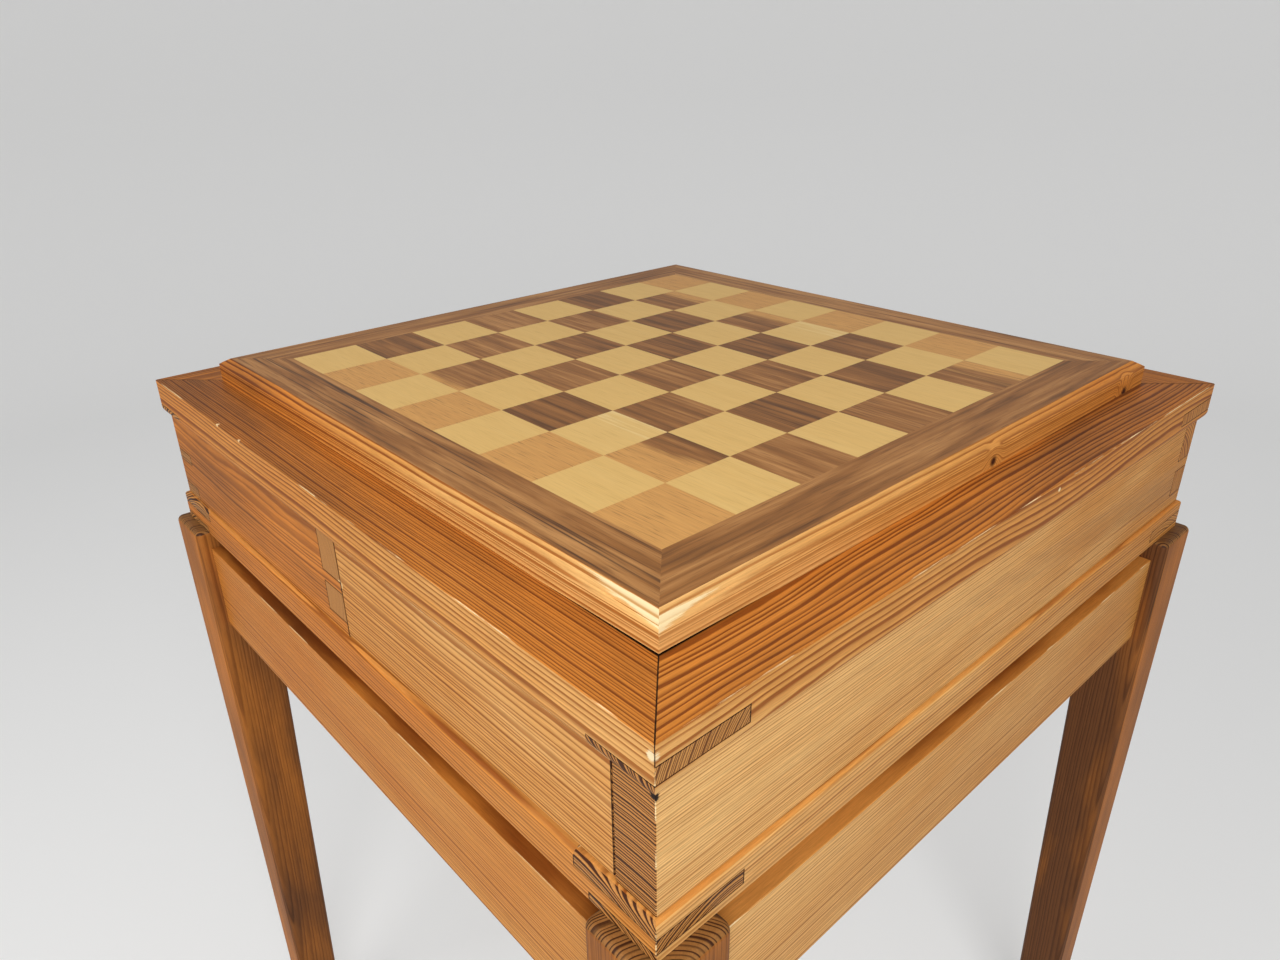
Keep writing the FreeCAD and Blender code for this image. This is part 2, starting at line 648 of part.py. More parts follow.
doc.recompute()
for item in doc.Objects:
    if {"Invalid", "Error"} & set(item.State):
        raise RuntimeError(f"{item.Name} can't be made: {item.State}")
for item in nodes:
    if item.Shape.isNull() or not item.Shape.isValid() or not item.Shape.Solids:
        raise RuntimeError(f"{item.Label} is not a valid solid")

os.makedirs("parts", exist_ok=True)
for item in nodes:
    item.Shape.exportStep(f"parts/{item.Label}.step")
    print(f"{item.Label}: {len(item.Shape.Solids)} solid(s), {item.Shape.Volume / 1000:.1f} cm3")
print(f"{len(nodes)} sub-parts")
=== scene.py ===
# %% [markdown]
# # A chess table in oiled pine with a walnut and maple board
#
# The table comes from the CAD frame as fifty-one pieces at their real size, and none of them
# moves here. What is added is what a joiner would notice: how each board was sawn from its tree,
# where its end grain shows, which arrises are worn pale, and how the inlaid squares differ.

# %% Load the frame
import json
import math
import random

import bmesh
import bpy
from mathutils import Matrix, Vector
from mathutils.bvhtree import BVHTree

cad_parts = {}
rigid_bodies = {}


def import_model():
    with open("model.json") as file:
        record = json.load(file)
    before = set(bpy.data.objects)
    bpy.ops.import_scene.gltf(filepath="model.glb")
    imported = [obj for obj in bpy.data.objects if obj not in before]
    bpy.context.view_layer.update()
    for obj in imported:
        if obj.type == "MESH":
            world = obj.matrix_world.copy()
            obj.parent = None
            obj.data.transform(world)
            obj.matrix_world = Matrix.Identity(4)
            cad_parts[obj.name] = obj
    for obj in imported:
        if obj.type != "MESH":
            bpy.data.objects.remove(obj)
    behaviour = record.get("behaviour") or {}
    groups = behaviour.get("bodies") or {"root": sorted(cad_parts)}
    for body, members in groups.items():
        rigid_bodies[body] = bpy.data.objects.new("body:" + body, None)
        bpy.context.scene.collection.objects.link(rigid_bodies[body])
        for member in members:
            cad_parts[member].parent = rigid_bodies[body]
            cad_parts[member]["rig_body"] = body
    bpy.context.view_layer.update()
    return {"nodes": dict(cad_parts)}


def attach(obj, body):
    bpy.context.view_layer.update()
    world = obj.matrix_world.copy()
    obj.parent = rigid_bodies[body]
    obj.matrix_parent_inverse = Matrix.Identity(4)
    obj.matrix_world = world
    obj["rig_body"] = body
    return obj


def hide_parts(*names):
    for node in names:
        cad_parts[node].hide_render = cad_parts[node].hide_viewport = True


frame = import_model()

MM = 0.001
NODES = frame["nodes"]

# %% [markdown]
# ## The camera
#
# The table is seen from above its front right corner, close by, with a wide lens. A camera can be
# given as a matrix, but a place, a point to look at and a small roll are easier to read.

# %% Camera
CAMERA_PLACE = Vector((462.6, -449.9, 944.9)) * MM
CAMERA_AIM = Vector((138.2, -157.1, 740.0)) * MM
CAMERA_ROLL = math.radians(-0.75)
LENS = 25.67
NEAREST_SEEN = 10 * MM

camera = bpy.data.objects.new("Camera", bpy.data.cameras.new("Camera"))
bpy.context.scene.collection.objects.link(camera)
camera.location = CAMERA_PLACE
look = (CAMERA_AIM - CAMERA_PLACE).to_track_quat("-Z", "Y").to_matrix()
camera.rotation_euler = (look @ Matrix.Rotation(CAMERA_ROLL, 3, "Z")).to_euler()
camera.data.lens = LENS
camera.data.clip_start = NEAREST_SEEN
bpy.context.scene.camera = camera
bpy.context.scene.view_settings.view_transform = "Standard"
print("camera at", [round(value, 3) for value in camera.location])

# %% [markdown]
# ## Colours and nodes
#
# Colours are written as they are read off a colour card, in sRGB. A shader wants linear light, so
# one function turns them. A second function adds a node with its settings and its links, to a
# material or to a tree that makes geometry.

# %% Colours and nodes
def linear(code):
    """An sRGB hex colour as the linear numbers that a shader wants."""
    channels = [int(code[place:place + 2], 16) / 255 for place in (1, 3, 5)]
    return [c / 12.92 if c <= 0.04045 else ((c + 0.055) / 1.055) ** 2.4 for c in channels] + [1.0]


def add(tree, kind, inputs=None, **settings):
    """Add a node. An input is a number, a colour, a socket or another node.

    A kind without the word Node in it is a shader node.
    """
    node = tree.nodes.new(kind if "Node" in kind else f"ShaderNode{kind}")
    for name, value in settings.items():
        setattr(node, name, value)
    for name, value in (inputs or {}).items():
        socket = node.inputs[name]
        if isinstance(name, str):
            socket = next(s for s in node.inputs if s.name == name and s.enabled)
        if isinstance(value, bpy.types.Node):
            value = next(s for s in value.outputs if s.enabled)
        if isinstance(value, bpy.types.NodeSocket):
            tree.links.new(value, socket)
        else:
            socket.default_value = value
    return node


def new_material(name, roughness, gloss=0.5):
    """A material with an empty Principled shader, its tree and that shader."""
    material = bpy.data.materials.new(name)
    material.use_nodes = True
    shader = material.node_tree.nodes["Principled BSDF"]
    shader.inputs["Roughness"].default_value = roughness
    shader.inputs["Specular IOR Level"].default_value = gloss
    return material, material.node_tree, shader


def use(tree, shader, colour, height, strength, depth_mm):
    """Give a finished colour and a relief to the shader."""
    tree.links.new(next(s for s in colour.outputs if s.enabled), shader.inputs["Base Color"])
    bump = add(tree, "Bump", {"Height": height, "Strength": strength, "Distance": depth_mm * MM})
    tree.links.new(bump.outputs["Normal"], shader.inputs["Normal"])


# The two ends of a range that falls from all to nothing.
FALLING = {"To Min": 1.0, "To Max": 0.0}

# %% [markdown]
# ## Floor and backdrop
#
# A studio sweep has no corner between floor and wall. This one goes all the way round the table,
# so that every view has the same pale ground. A loop turns its profile round the middle.

# %% Sweep
SWEEP_FLOOR = 2.4
SWEEP_BEND = 0.8
SWEEP_HEIGHT = 2.4
SWEEP_SIDES = 72
PAPER_GLOW = 0.36


def sweep_profile(bend_steps=10):
    """Distance from the middle and height, from the edge of the floor to the top of the wall."""
    for step in range(bend_steps + 1):
        angle = math.pi / 2 * step / bend_steps
        yield SWEEP_FLOOR + SWEEP_BEND * math.sin(angle), SWEEP_BEND * (1 - math.cos(angle))
    yield SWEEP_FLOOR + SWEEP_BEND, SWEEP_HEIGHT


def matt_paper():
    """Matt paper: even and grey. It glows for the eye and for reflections, but lights nothing."""
    paper, tree, shader = new_material("Matt Paper", roughness=0.95, gloss=0.2)
    shader.inputs["Base Color"].default_value = linear("#bebebd")
    shader.inputs["Emission Color"].default_value = linear("#ffffff")
    rays = add(tree, "LightPath")
    seen = add(tree, "Math", {0: rays.outputs["Is Camera Ray"], 1: rays.outputs["Is Glossy Ray"]})
    seen = add(tree, "Math", {0: seen, 1: rays.outputs["Is Transmission Ray"]})
    glow = add(tree, "Math", {0: seen, 1: PAPER_GLOW}, operation="MULTIPLY")
    tree.links.new(glow.outputs["Value"], shader.inputs["Emission Strength"])
    return paper


def make_sweep():
    """The floor and its wall as one smooth shape."""
    turns = [2 * math.pi * side / SWEEP_SIDES for side in range(SWEEP_SIDES)]
    shape = bmesh.new()
    rings = []
    for distance, height in sweep_profile():
        places = [(distance * math.cos(turn), distance * math.sin(turn), height) for turn in turns]
        rings.append([shape.verts.new(place) for place in places])
    shape.faces.new(rings[0])
    for low, high in zip(rings, rings[1:]):
        for side in range(SWEEP_SIDES):
            after = (side + 1) % SWEEP_SIDES
            shape.faces.new((low[after], low[side], high[side], high[after]))
    mesh = bpy.data.meshes.new("Sweep")
    shape.to_mesh(mesh)
    shape.free()
    mesh.shade_smooth()
    sweep = bpy.data.objects.new("Sweep", mesh)
    bpy.context.scene.collection.objects.link(sweep)
    mesh.materials.append(matt_paper())
    return sweep


sweep = make_sweep()
print("sweep faces:", len(sweep.data.polygons))

# %% [markdown]
# ## Light
#
# The room gives an even light from everywhere. Two large lamps, one on each side of the near
# corner, make the right side a little brighter than the front, as windows would.

# %% Light
ROOM_LIGHT = 0.55

world = bpy.data.worlds.new("Soft Studio")
bpy.context.scene.world = world
world.use_nodes = True
background = world.node_tree.nodes["Background"]
background.inputs["Color"].default_value = linear("#f4f4f4")
background.inputs["Strength"].default_value = ROOM_LIGHT


def softbox(name, place, aim, size, power):
    """A square lamp that faces a point. Lengths are in metres and the power is in watts."""
    lamp = bpy.data.lights.new(name, "AREA")
    lamp.energy = power
    lamp.size = size
    holder = bpy.data.objects.new(name, lamp)
    bpy.context.scene.collection.objects.link(holder)
    holder.location = place
    holder.rotation_euler = (Vector(aim) - Vector(place)).to_track_quat("-Z", "Y").to_euler()


softbox("Key Softbox", (1.2, -0.9, 1.4), aim=(0.15, -0.15, 0.62), size=0.9, power=20)
softbox("Fill Softbox", (-0.2, -1.6, 1.35), aim=(0.05, -0.15, 0.6), size=1.1, power=12)
print("lamps:", len(bpy.data.lights))

# %% [markdown]
# ## What a board remembers of its tree
#
# Growth rings are cylinders round the pith of a tree. A board cut from it shows them as close
# straight lines on one face, as broad wavy figures on the next, and as curved lines on its end.
# All three come right by themselves if every corner of the mesh knows where it once was in the
# tree: x along the trunk, y and z across it, in millimetres from the pith. That place is kept in
# an attribute called tree. It is a straight function of the position, so it stays exact
# between corners.

# %% Sides of the table
OUTWARD = {
    "front": Vector((0, -1, 0)), "right": Vector((1, 0, 0)),
    "rear": Vector((0, 1, 0)), "left": Vector((-1, 0, 0)),
}
UP = Vector((0, 0, 1))
ALONG_X = Vector((1, 0, 0))
ALONG_Y = Vector((0, 1, 0))


def trunk_of(side):
    """The direction that a board on this side runs in."""
    return UP.cross(OUTWARD[side])


# %% Sawing
TRUNK_METRES = 9
# A face counts as end grain when its normal leans this far along the trunk.
END_GRAIN_LEAN = 0.35


def metres_up(name):
    """How far up its trunk a board grew, in metres: always the same for the same name."""
    return random.Random(name).random() * TRUNK_METRES


def mark(mesh, name, value, domain="CORNER"):
    """Store a number on a mesh: the same for all of it, or one for each element."""
    layer = mesh.attributes.new(name, "FLOAT", domain)
    values = value if isinstance(value, list) else [value] * len(layer.data)
    layer.data.foreach_set("value", values)


def saw(mesh, trunk, outward, heart, metres):
    """Write where a board grew. heart is where the pith lies from the board's middle, in mm."""
    rise = outward.cross(trunk)
    low = Vector([min(v.co[axis] for v in mesh.vertices) for axis in range(3)])
    high = Vector([max(v.co[axis] for v in mesh.vertices) for axis in range(3)])
    layer = mesh.attributes.new("tree", "FLOAT_VECTOR", "CORNER")
    places = []
    for loop in mesh.loops:
        offset = (mesh.vertices[loop.vertex_index].co - (low + high) / 2) / MM
        places.append(offset.dot(trunk) + 1000 * metres)
        places.append(offset.dot(outward) - heart[0])
        places.append(offset.dot(rise) - heart[1])
    layer.data.foreach_set("vector", places)
    ends = [float(abs(face.normal.dot(trunk)) > END_GRAIN_LEAN) for face in mesh.polygons]
    mark(mesh, "end_grain", ends, "FACE")


# %% [markdown]
# ## Pine
#
# Oiled pine: pale early wood, with harder and darker late wood at the end of every year, in which
# the colour rises slowly and stops short. Old oil has turned it orange, most of all where light
# and hands reach it. Across the end of a board the same rings are cut open, soak up more oil and
# stand out nearly black.
#
# The rings could be a Wave texture, but that repeats evenly. Here the distance from the pith is
# counted in years, and each year gets a width and a strength of its own.

# %% Colours of pine
# Tone, early wood and late wood: bare, lightly oiled, orange with age, and darkened.
PINE_TONES = (
    (0.0, "#ecc07e", "#b5773a"), (0.35, "#d4954c", "#93521d"),
    (0.7, "#cc7d2f", "#804012"), (1.0, "#6f4424", "#32190b"),
)
# Early and late wood across an end, and what both turn to on a dark board.
END_GRAIN = ("#bd8244", "#42200c")
DARK_END = "#3b2212"
# Torn wood and the lines in it.
FRESH_WOOD = "#ead2a2"
FRESH_LINE = "#b9813f"
KNOT_HEART = "#3c1a0e"
# Dirt and painted shade in joints.
JOINT_DIRT_AND_SHADE = "#2a170b"
# Painted shadow and dirt in the gap under the edging.
CREVICE_SHADOW_AND_DIRT = "#0b0603"

# %% Sizes in pine
# Scales are one over the size of a feature in mm, along the trunk and twice across it.
# The slow wander of a ring takes about 220 mm by 50 mm, the quick one 45 mm by 10 mm.
SLOW_WANDER = (0.0045, 0.02, 0.02)
QUICK_WANDER = (0.022, 0.1, 0.1)
# Patches of oil are about 140 mm by 29 mm, and fibres are 17 mm by 0.7 mm.
OIL_PATCH = (0.007, 0.035, 0.035)
FIBRE = (0.06, 1.4, 1.4)
QUICK_SHARE = 0.16
# Both noises swing round a half, so this brings the wander back to the middle.
WANDER_MIDDLE = 0.58
YEAR_SPREAD = 1.4
# Through one year, how far the wood is late wood.
LATE_WOOD = ((0.2, 0.0), (0.5, 0.22), (0.72, 0.9), (0.88, 1.0), (1.0, 0.1))


# %% Rings
def ring_radius(tree, place, wander_mm):
    """Distance from the pith with a slow wander and a small quick one, and the quick noise."""
    slow_place = add(tree, "Mapping", {"Vector": place, "Scale": SLOW_WANDER})
    slow = add(tree, "TexNoise", {"Vector": slow_place, "Scale": 1.0, "Detail": 1.0})
    quick_place = add(tree, "Mapping", {"Vector": place, "Scale": QUICK_WANDER})
    quick = add(tree, "TexNoise", {"Vector": quick_place, "Scale": 1.0, "Detail": 2.0})
    quick_part = add(tree, "Math", {0: quick, 1: QUICK_SHARE}, operation="MULTIPLY")
    both = add(tree, "Math", {0: slow, 1: quick_part}, operation="ADD")
    shift = add(tree, "Math", {0: both, 1: WANDER_MIDDLE}, operation="SUBTRACT")
    shift_mm = add(tree, "Math", {0: shift, 1: wander_mm}, operation="MULTIPLY")
    across = add(tree, "VectorMath", {0: place, 1: (0, 1, 1)}, operation="MULTIPLY")
    distance = add(tree, "VectorMath", {0: across}, operation="LENGTH").outputs["Value"]
    return add(tree, "Math", {0: distance, 1: shift_mm}, operation="ADD"), quick


def bend_round_knots(tree, radius, knots):
    """Rings flow round a knot, which is the root of a branch. Gives the hearts of knots too."""
    core = None
    for centre, size, push in knots:
        where = add(tree, "TexCoord").outputs["Object"]
        to_knot = add(tree, "VectorMath", {0: where, 1: Vector(centre) * MM}, operation="DISTANCE")
        away = to_knot.outputs["Value"]
        bend = {"Value": away, "From Min": 0.0, "From Max": 3.2 * size * MM, **FALLING}
        near = add(tree, "MapRange", bend, interpolation_type="SMOOTHERSTEP")
        push_mm = add(tree, "Math", {0: near, 1: push}, operation="MULTIPLY")
        radius = add(tree, "Math", {0: radius, 1: push_mm}, operation="ADD")
        inside = {"Value": away, "From Min": 0.25 * size * MM, "From Max": 1.1 * size * MM, **FALLING}
        heart = add(tree, "MapRange", inside, interpolation_type="SMOOTHSTEP")
        core = heart if core is None else add(tree, "Math", {0: core, 1: heart}, operation="MAXIMUM")
    return radius, core


def late_wood(tree, radius, ring_mm):
    """How far each place is late wood. Years are not all of one width or one strength."""
    count = add(tree, "Math", {0: radius, 1: ring_mm}, operation="DIVIDE")
    years = add(tree, "TexNoise", {"W": count, "Scale": 0.5, "Detail": 1.0}, noise_dimensions="1D")
    years_part = add(tree, "Math", {0: years, 1: YEAR_SPREAD}, operation="MULTIPLY")
    age = add(tree, "Math", {0: count, 1: years_part}, operation="ADD")
    season = add(tree, "Math", {0: age}, operation="FRACT")
    year = add(tree, "Math", {0: age}, operation="FLOOR")
    luck = add(tree, "TexWhiteNoise", {"W": year}, noise_dimensions="1D").outputs["Value"]
    strength = add(tree, "MapRange", {"Value": luck, "To Min": 0.5, "To Max": 1.15})
    late = add(tree, "ValToRGB", {"Fac": season})
    for position, level in LATE_WOOD[1:-1]:
        late.color_ramp.elements.new(position)
    for element, (position, level) in zip(late.color_ramp.elements, LATE_WOOD):
        element.position = position
        element.color = (level, level, level, 1)
    return add(tree, "Math", {0: late, 1: strength}, operation="MULTIPLY", use_clamp=True)


# %% [markdown]
# ## From rings to the colour of a board
#
# Two colour ramps, for early and for late wood, follow the tone of a board, so that one number
# takes it from bare wood to dark old oil. The mesh says which faces are end grain.

# %% Colour of a board
def oiled_wood(tree, tone, place):
    """Early and late wood, deeper in broad patches where the board took more oil."""
    patch_place = add(tree, "Mapping", {"Vector": place, "Scale": OIL_PATCH})
    patch = add(tree, "TexNoise", {"Vector": patch_place, "Scale": 1.0, "Detail": 3.0})
    patch_look = {"Value": patch, "From Min": 0.3, "From Max": 0.7, "To Min": -0.1, "To Max": 0.1}
    patch_part = add(tree, "MapRange", patch_look)
    oil = add(tree, "Math", {0: tone, 1: patch_part}, operation="ADD", use_clamp=True)
    woods = []
    for growth in (1, 2):
        wood = add(tree, "ValToRGB", {"Fac": oil})
        for tones in PINE_TONES[1:-1]:
            wood.color_ramp.elements.new(tones[0])
        for element, tones in zip(wood.color_ramp.elements, PINE_TONES):
            element.color = linear(tones[growth])
        woods.append(wood)
    return woods


def board_colour(tree, place, value, line, fibre):
    """Long grain and end grain, with fibres over both."""
    long_line = add(tree, "Math", {0: line, 1: value["contrast"]}, operation="MULTIPLY", use_clamp=True)
    early, late = oiled_wood(tree, value["tone"], place)
    long_grain = add(tree, "Mix", {"Factor": long_line, "A": early, "B": late}, data_type="RGBA")
    end_line = add(tree, "MapRange", {"Value": long_line, "From Min": 0.06, "From Max": 0.38})
    rings = {"Factor": end_line, "A": linear(END_GRAIN[0]), "B": linear(END_GRAIN[1])}
    cut_ends = add(tree, "Mix", rings, data_type="RGBA")
    # The ends of dark boards are dark too.
    sunk = add(tree, "MapRange", {"Value": value["tone"], "From Min": 0.6, "To Min": 0.0, "To Max": 0.65})
    sunk_ends = {"Factor": sunk, "A": cut_ends, "B": linear(DARK_END)}
    cut_ends = add(tree, "Mix", sunk_ends, data_type="RGBA")
    faces = {"Factor": value["end_grain"], "A": long_grain, "B": cut_ends}
    wood = add(tree, "Mix", faces, data_type="RGBA")
    swing = {"Value": fibre, "From Min": 0.25, "From Max": 0.75, "To Min": 0.74, "To Max": 1.22}
    fibre_part = add(tree, "MapRange", swing)
    shade = add(tree, "CombineColor", {0: fibre_part, 1: fibre_part, 2: fibre_part})
    shaded = {"Factor": 1.0, "A": wood, "B": shade}
    return add(tree, "Mix", shaded, data_type="RGBA", blend_type="MULTIPLY")


# %% [markdown]
# ## Wear, chips, dirt and painted shade
#
# Torn arrises, chips, a hole painted dark as shade and the painted shadow and dirt in the gap under
# the edging are laid over the colour, because none of them is deep enough to be a shape. Torn wood
# is nearly white, with only faint lines.

# %% Wear, chips, dirt and painted shade
EDGING_OUTER = 241.0
# The painted shadow in the gap under the edging is sharp at its outer face, and fades out between
# these two places, counted as x minus y in mm.
CREVICE_EDGE = 0.3
CREVICE_FADE = (420.0, 455.0)
# A chip's outline is pushed about by the fibres, by this share of its radius.
CHIP_RAGGED = 1.6
CHIP_RIM = 1.85


def bare_where_worn(tree, wood, worn, quick, fibre, line):
    """Torn wood wherever the mesh says that the skin is gone, with a ragged outline."""
    torn = add(tree, "Math", {0: fibre, 1: 0.6}, operation="MULTIPLY")
    ragged = add(tree, "Math", {0: quick, 1: worn}, operation="ADD")
    ragged = add(tree, "Math", {0: ragged, 1: torn}, operation="ADD")
    bare = add(tree, "MapRange", {"Value": ragged, "From Min": 1.22, "From Max": 1.34})
    faint = add(tree, "Math", {0: line, 1: 0.85}, operation="MULTIPLY")
    fresh_look = {"Factor": faint, "A": linear(FRESH_WOOD), "B": linear(FRESH_LINE)}
    fresh = add(tree, "Mix", fresh_look, data_type="RGBA")
    return add(tree, "Mix", {"Factor": bare, "A": wood, "B": fresh}, data_type="RGBA")


def with_spots(tree, wood, fibre, spots):
    """Small chips, and holes painted nearly black as shade, each a ragged spot round a place on the table.
    """
    for centre, size, code in spots:
        where = add(tree, "TexCoord").outputs["Object"]
        to_spot = add(tree, "VectorMath", {0: where, 1: Vector(centre) * MM}, operation="DISTANCE")
        rough_mm = add(tree, "Math", {0: fibre, 1: size * CHIP_RAGGED * MM}, operation="MULTIPLY")
        reach = add(tree, "Math", {0: to_spot.outputs["Value"], 1: rough_mm}, operation="ADD")
        rim = {"From Min": CHIP_RAGGED * size * MM, "From Max": CHIP_RIM * size * MM}
        inside = add(tree, "MapRange", {"Value": reach, **rim, **FALLING})
        wood = add(tree, "Mix", {"Factor": inside, "A": wood, "B": linear(code)}, data_type="RGBA")
    return wood


def with_crevice(tree, wood):
    """Painted shadow and dirt where the edging stands off the frame, next to the near corner."""
    where = add(tree, "SeparateXYZ", {0: add(tree, "TexCoord").outputs["Object"]}).outputs
    reach_x = add(tree, "Math", {0: where["X"]}, operation="ABSOLUTE")
    reach_y = add(tree, "Math", {0: where["Y"]}, operation="ABSOLUTE")
    reach = add(tree, "Math", {0: reach_x, 1: reach_y}, operation="MAXIMUM")
    inner, outer = [(EDGING_OUTER + offset) * MM for offset in (-CREVICE_EDGE, CREVICE_EDGE)]
    under = add(tree, "MapRange", {"Value": reach, "From Min": inner, "From Max": outer, **FALLING})
    nearness = add(tree, "Math", {0: where["X"], 1: where["Y"]}, operation="SUBTRACT")
    begin, full = [place * MM for place in CREVICE_FADE]
    near = add(tree, "MapRange", {"Value": nearness, "From Min": begin, "From Max": full})
    shadow_and_dirt = add(tree, "Math", {0: under, 1: near}, operation="MULTIPLY")
    return add(tree, "Mix", {"Factor": shadow_and_dirt, "A": wood, "B": linear(CREVICE_SHADOW_AND_DIRT)}, data_type="RGBA")


# %% [markdown]
# ## Three kinds of pine board
#
# Most boards are plain. The right edging strip has two knots, and five boards at the front and the
# right have chips.

# %% Pine
# What each board says about itself, apart from its place in the tree.
PINE_VALUES = ("ring_mm", "tone", "wander_mm", "contrast", "end_grain", "worn", "dirt_and_shade")


def pine_material(name, knots=(), spots=(), crevice=False):
    """Oiled pine: satin at most, with lines that can be felt because late wood stands proud.

    knots bend the rings, spots are chips and a hole painted dark as shade, and crevice is
    painted shadow and dirt under the board.
    """
    material, tree, shader = new_material(name, roughness=0.55, gloss=0.15)
    place = add(tree, "Attribute", attribute_name="tree").outputs["Vector"]
    value = {kind: add(tree, "Attribute", attribute_name=kind).outputs["Fac"] for kind in PINE_VALUES}
    radius, quick = ring_radius(tree, place, value["wander_mm"])
    radius, core = bend_round_knots(tree, radius, knots)
    line = late_wood(tree, radius, value["ring_mm"])
    fibre_place = add(tree, "Mapping", {"Vector": place, "Scale": FIBRE})
    fibre_look = {"Vector": fibre_place, "Scale": 1.0, "Detail": 4.0, "Roughness": 0.75}
    fibre = add(tree, "TexNoise", fibre_look)
    wood = board_colour(tree, place, value, line, fibre)
    if core is not None:
        wood = add(tree, "Mix", {"Factor": core, "A": wood, "B": linear(KNOT_HEART)}, data_type="RGBA")
    wood = bare_where_worn(tree, wood, value["worn"], quick, fibre, line)
    wood = with_spots(tree, wood, fibre, spots)
    # Painted shadow and dirt in the gap under the edging.
    if crevice:
        wood = with_crevice(tree, wood)
    # Arrises in a joint darkened: dirt and painted shade.
    dirt_and_shade_part = add(tree, "Math", {0: value["dirt_and_shade"], 1: 0.85}, operation="MULTIPLY")
    wood = add(tree, "Mix", {"Factor": dirt_and_shade_part, "A": wood, "B": linear(JOINT_DIRT_AND_SHADE)}, data_type="RGBA")
    relief = add(tree, "Math", {0: line, 1: fibre}, operation="ADD")
    use(tree, shader, wood, relief, strength=0.3, depth_mm=0.12)
    return material


PINE = pine_material("Oiled Pine")
# Knots on the right edging strip: place in mm, radius of the core, and how far rings give way.
EDGING_KNOTS = (((241, 210, 724), 5.5, 7), ((241, 27, 727), 4.5, -4))
KNOTTY_PINE = pine_material("Oiled Pine With Knots", knots=EDGING_KNOTS)
# Chips that show fresh wood on the top frame and beside the fingers of the partition, and at the
# near corner one nearly black spot of painted shade for a hole: place and radius in mm, and colour.
FRAME_SPOTS = (
    ((276, -277, 717), 2.6, "#ecd6ab"),
    # Painted shade: a hole that the shape does not have.
    ((274, -275, 694), 3.4, "#20120a"),
    ((-149, -278, 723), 1.8, "#e9c894"),
    ((-111, -278, 723), 1.6, "#e9c894"),
    ((278, 35, 719), 1.3, "#f0d7a4"),
    ((6, -274, 666), 3, "#e3bd84"),
    ((3, -274, 632), 2.6, "#dcb276"),
)
CHIPPED = ("top_frame_front", "top_frame_right", "right_web", "front_drawer_face", "partition")
CHIPPED_AND_SHADED_PINE = pine_material("Oiled Pine With Chips And Painted Shade", spots=FRAME_SPOTS, crevice=True)
print("pine nodes:", len(PINE.node_tree.nodes))

# %% [markdown]
# ## Walnut and maple veneer
#
# Walnut heartwood is brown with darker streaks and short dark pores. Its sapwood, next to the
# bark, is pale and orange. Maple is even, straw coloured and close grained. Both lie under a thin
# satin varnish, which shows the grain but hardly any gloss.

# %% Walnut and maple
# The figure is about 90 mm by 8 mm, and the stripes in it are 140 mm by 2.4 mm.
FIGURE = (0.011, 0.13, 0.13)
STRIPE = (0.007, 0.42, 0.42)
BLACK_STREAK = "#38241a"


